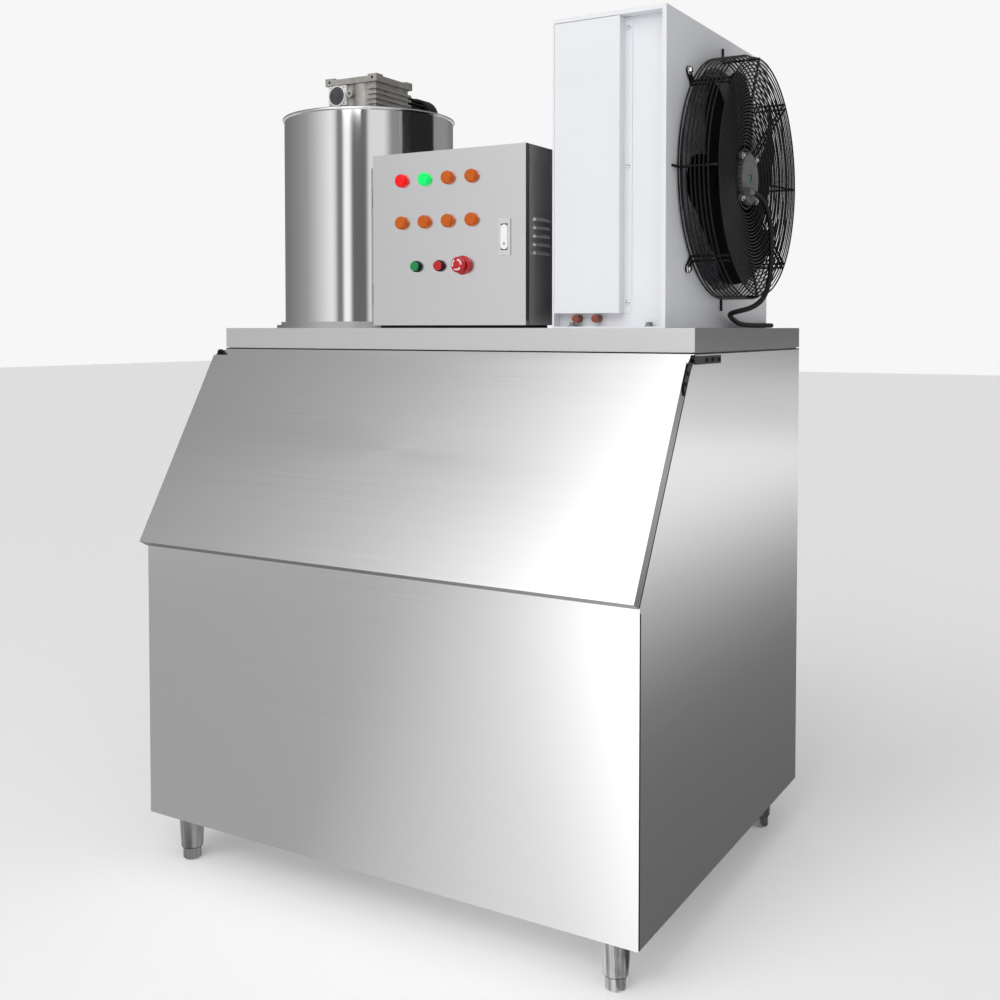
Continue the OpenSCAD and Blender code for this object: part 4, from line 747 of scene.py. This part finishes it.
def blade_grid(bm, place, start, lift):
    """Rows of points from the hub to the tip of one blade."""
    rows = []
    for i in range(WHEEL_ACROSS + 1):
        s = i / WHEEL_ACROSS
        r = WHEEL_R[0] + s * (WHEEL_R[1] - WHEEL_R[0])
        (t0, z0), (t1, z1) = (between(WHEEL_EDGES[edge], s) for edge in ("front", "back"))
        sweep = WHEEL_SWEEP * math.sin(math.pi * s)
        row = []
        for j in range(WHEEL_ALONG + 1):
            k = j / WHEEL_ALONG
            turn = math.radians(start + t0 + (t1 - t0) * k - sweep)
            height = z0 + (z1 - z0) * k + WHEEL_CAMBER * math.sin(math.pi * k) + lift
            row.append(vertex(bm, place, *polar(r, turn), height))
        rows.append(row)
    return rows


def close_sheet(bm, under, over):
    """The closed skin between two grids of the same size."""
    rows, columns = len(under) - 1, len(under[0]) - 1
    for i in range(rows):
        for j in range(columns):
            for grid in (under, over):
                bm.faces.new((grid[i][j], grid[i + 1][j], grid[i + 1][j + 1], grid[i][j + 1]))
    edge = [(i, 0) for i in range(rows)] + [(rows, j) for j in range(columns)]
    edge += [(i, columns) for i in range(rows, 0, -1)] + [(0, j) for j in range(columns, 0, -1)]
    for (i, j), (m, n) in zip(edge, edge[1:] + edge[:1]):
        bm.faces.new((under[i][j], under[m][n], over[m][n], over[i][j]))


def add_fan_wheel():
    """A wheel of broad sickle blades that overlap as seen from the front."""
    bm = bmesh.new()
    place = facing(FAN_AT, RIGHT)
    lathe(bm, place, WHEEL_HUB, sides=48)
    for blade in range(WHEEL_BLADES):
        start = 360 * blade / WHEEL_BLADES
        close_sheet(bm, *(blade_grid(bm, place, start, lift) for lift in (0, BLADE_T)))
    wheel = add_piece("fan_wheel", bm, "fan", "black_plastic", WHEEL_BLACK)
    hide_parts("fan_rotor")


PLUG = [(8.6, 61.2), (8.6, 63.4), (7.6, 64.2), (4.2, 64.6), (3.6, 64.2)]


def add_motor_plug():
    bm = bmesh.new()
    lathe(bm, facing(FAN_AT, RIGHT), PLUG, sides=28)
    add_piece("motor_plug", bm, "machine", "button_green")


# The guard's own sizes, and the added rings' heights on its side and wire on its face
SIDE_R, SIDE_WIRE_R, SIDE_RINGS = 257, 1.75, [4.6, 21.1, 39.4, 57.6]
FACE_R, FACE_H, FACE_PITCH, FACE_RINGS, FACE_WIRE_R = 250, 87, 14, 13, 1.3
HUB_RING_R, DISH = 63, 33
WIRE_TURNS = [math.radians(a) for a in range(0, 360, 45)]


def add_guard_rings():
    """Closer rings between the guard's own, on its side and on its dished face."""
    bm = bmesh.new()
    place = facing(FAN_AT, RIGHT)
    rings = [(SIDE_R, z, SIDE_WIRE_R) for z in SIDE_RINGS]
    for i in range(FACE_RINGS):
        inwards = (i + 0.5) * FACE_PITCH
        rings.append((FACE_R - inwards, FACE_H - DISH * inwards / (FACE_R - HUB_RING_R), FACE_WIRE_R))
    for r, z, thick in rings:
        wire = [Vector((r, z)) + Vector(polar(thick, a)) for a in WIRE_TURNS]
        lathe(bm, place, wire, sides=96, hollow=True)
    add_piece("guard_rings", bm, "machine", "black_paint")


LEG_X, LEG_Y = (70, 1130), (58, 882)
LEG_MOUTH_SHADOW = [(20.8, 27.2), (23.6, 27.2), (23.6, 29), (20.8, 29)]


def add_leg_mouth_shadows():
    """A dark ring in each leg's mouth, round its foot, as a painted shadow under the socket's edge."""
    bm = bmesh.new()
    for x in LEG_X:
        for y in LEG_Y:
            lathe(bm, facing((x, y, 0), UP), LEG_MOUTH_SHADOW, sides=40, hollow=True)
    add_piece("leg_mouth_shadows", bm, "machine", "black_rubber")


# Dark joints between the bin's sheets: lowest and highest corners
PROUD = 0.35
SEAMS = [
    ((1, 254.3 - PROUD, 1155), (1199, 255.5, 1157.6)),
    ((1, 939, 1153.8), (1199, 940 + PROUD, 1156.2)),
    *[((x - PROUD, 257, 1153.6), (x + PROUD, 939, 1156.4)) for x in (0, BIN_W)],
    *[((x - PROUD, 1.2, 112), (x + PROUD, 5.2, 708)) for x in (0, BIN_W)],
]


def add_seams():
    bm = bmesh.new()
    for (x0, y0, z0), (x1, y1, z1) in SEAMS:
        prism(bm, ON_BIN, rectangle(x0, y0, x1, y1), z0, z1)
    add_piece("seams", bm, "machine", "black_rubber", smooth=False)


COIL_X, COIL_Y, COIL_Z = (883, 929), (356, 863), (1213, 1827)
FIN_PITCH, FIN_T = 3.4, 0.35
FIN_STEPS, FIN_RIPPLE = 12, 0.8


def add_coil_fins():
    """Thin fins filling the coil between its end plates, with rippled edges."""
    bm = bmesh.new()
    ripple = [((k % 2) * FIN_RIPPLE, COIL_Z[0] + (COIL_Z[1] - COIL_Z[0]) * k / FIN_STEPS)
              for k in range(FIN_STEPS + 1)]
    outline = [(COIL_X[0] + wave, z) for wave, z in ripple]
    outline += [(COIL_X[1] - wave, z) for wave, z in reversed(ripple)]
    for i in range(1, int((COIL_Y[1] - COIL_Y[0]) / FIN_PITCH)):
        y = COIL_Y[0] + i * FIN_PITCH
        skin(bm, [[vertex(bm, ON_BIN, x, side, z) for x, z in outline] for side in (y, y + FIN_T)])
    add_piece("coil_fins", bm, "machine", "plain_steel", smooth=False)


add_camera()
add_cable()
add_world()
add_light()
add_floor()
dress_nodes()
add_fasteners()
add_estop_arrows()
add_key_barrel()
add_panel_rims()
add_box_shadow_strip()
add_fan_wheel()
add_motor_plug()
add_guard_rings()
add_leg_mouth_shadows()
add_seams()
add_coil_fins()
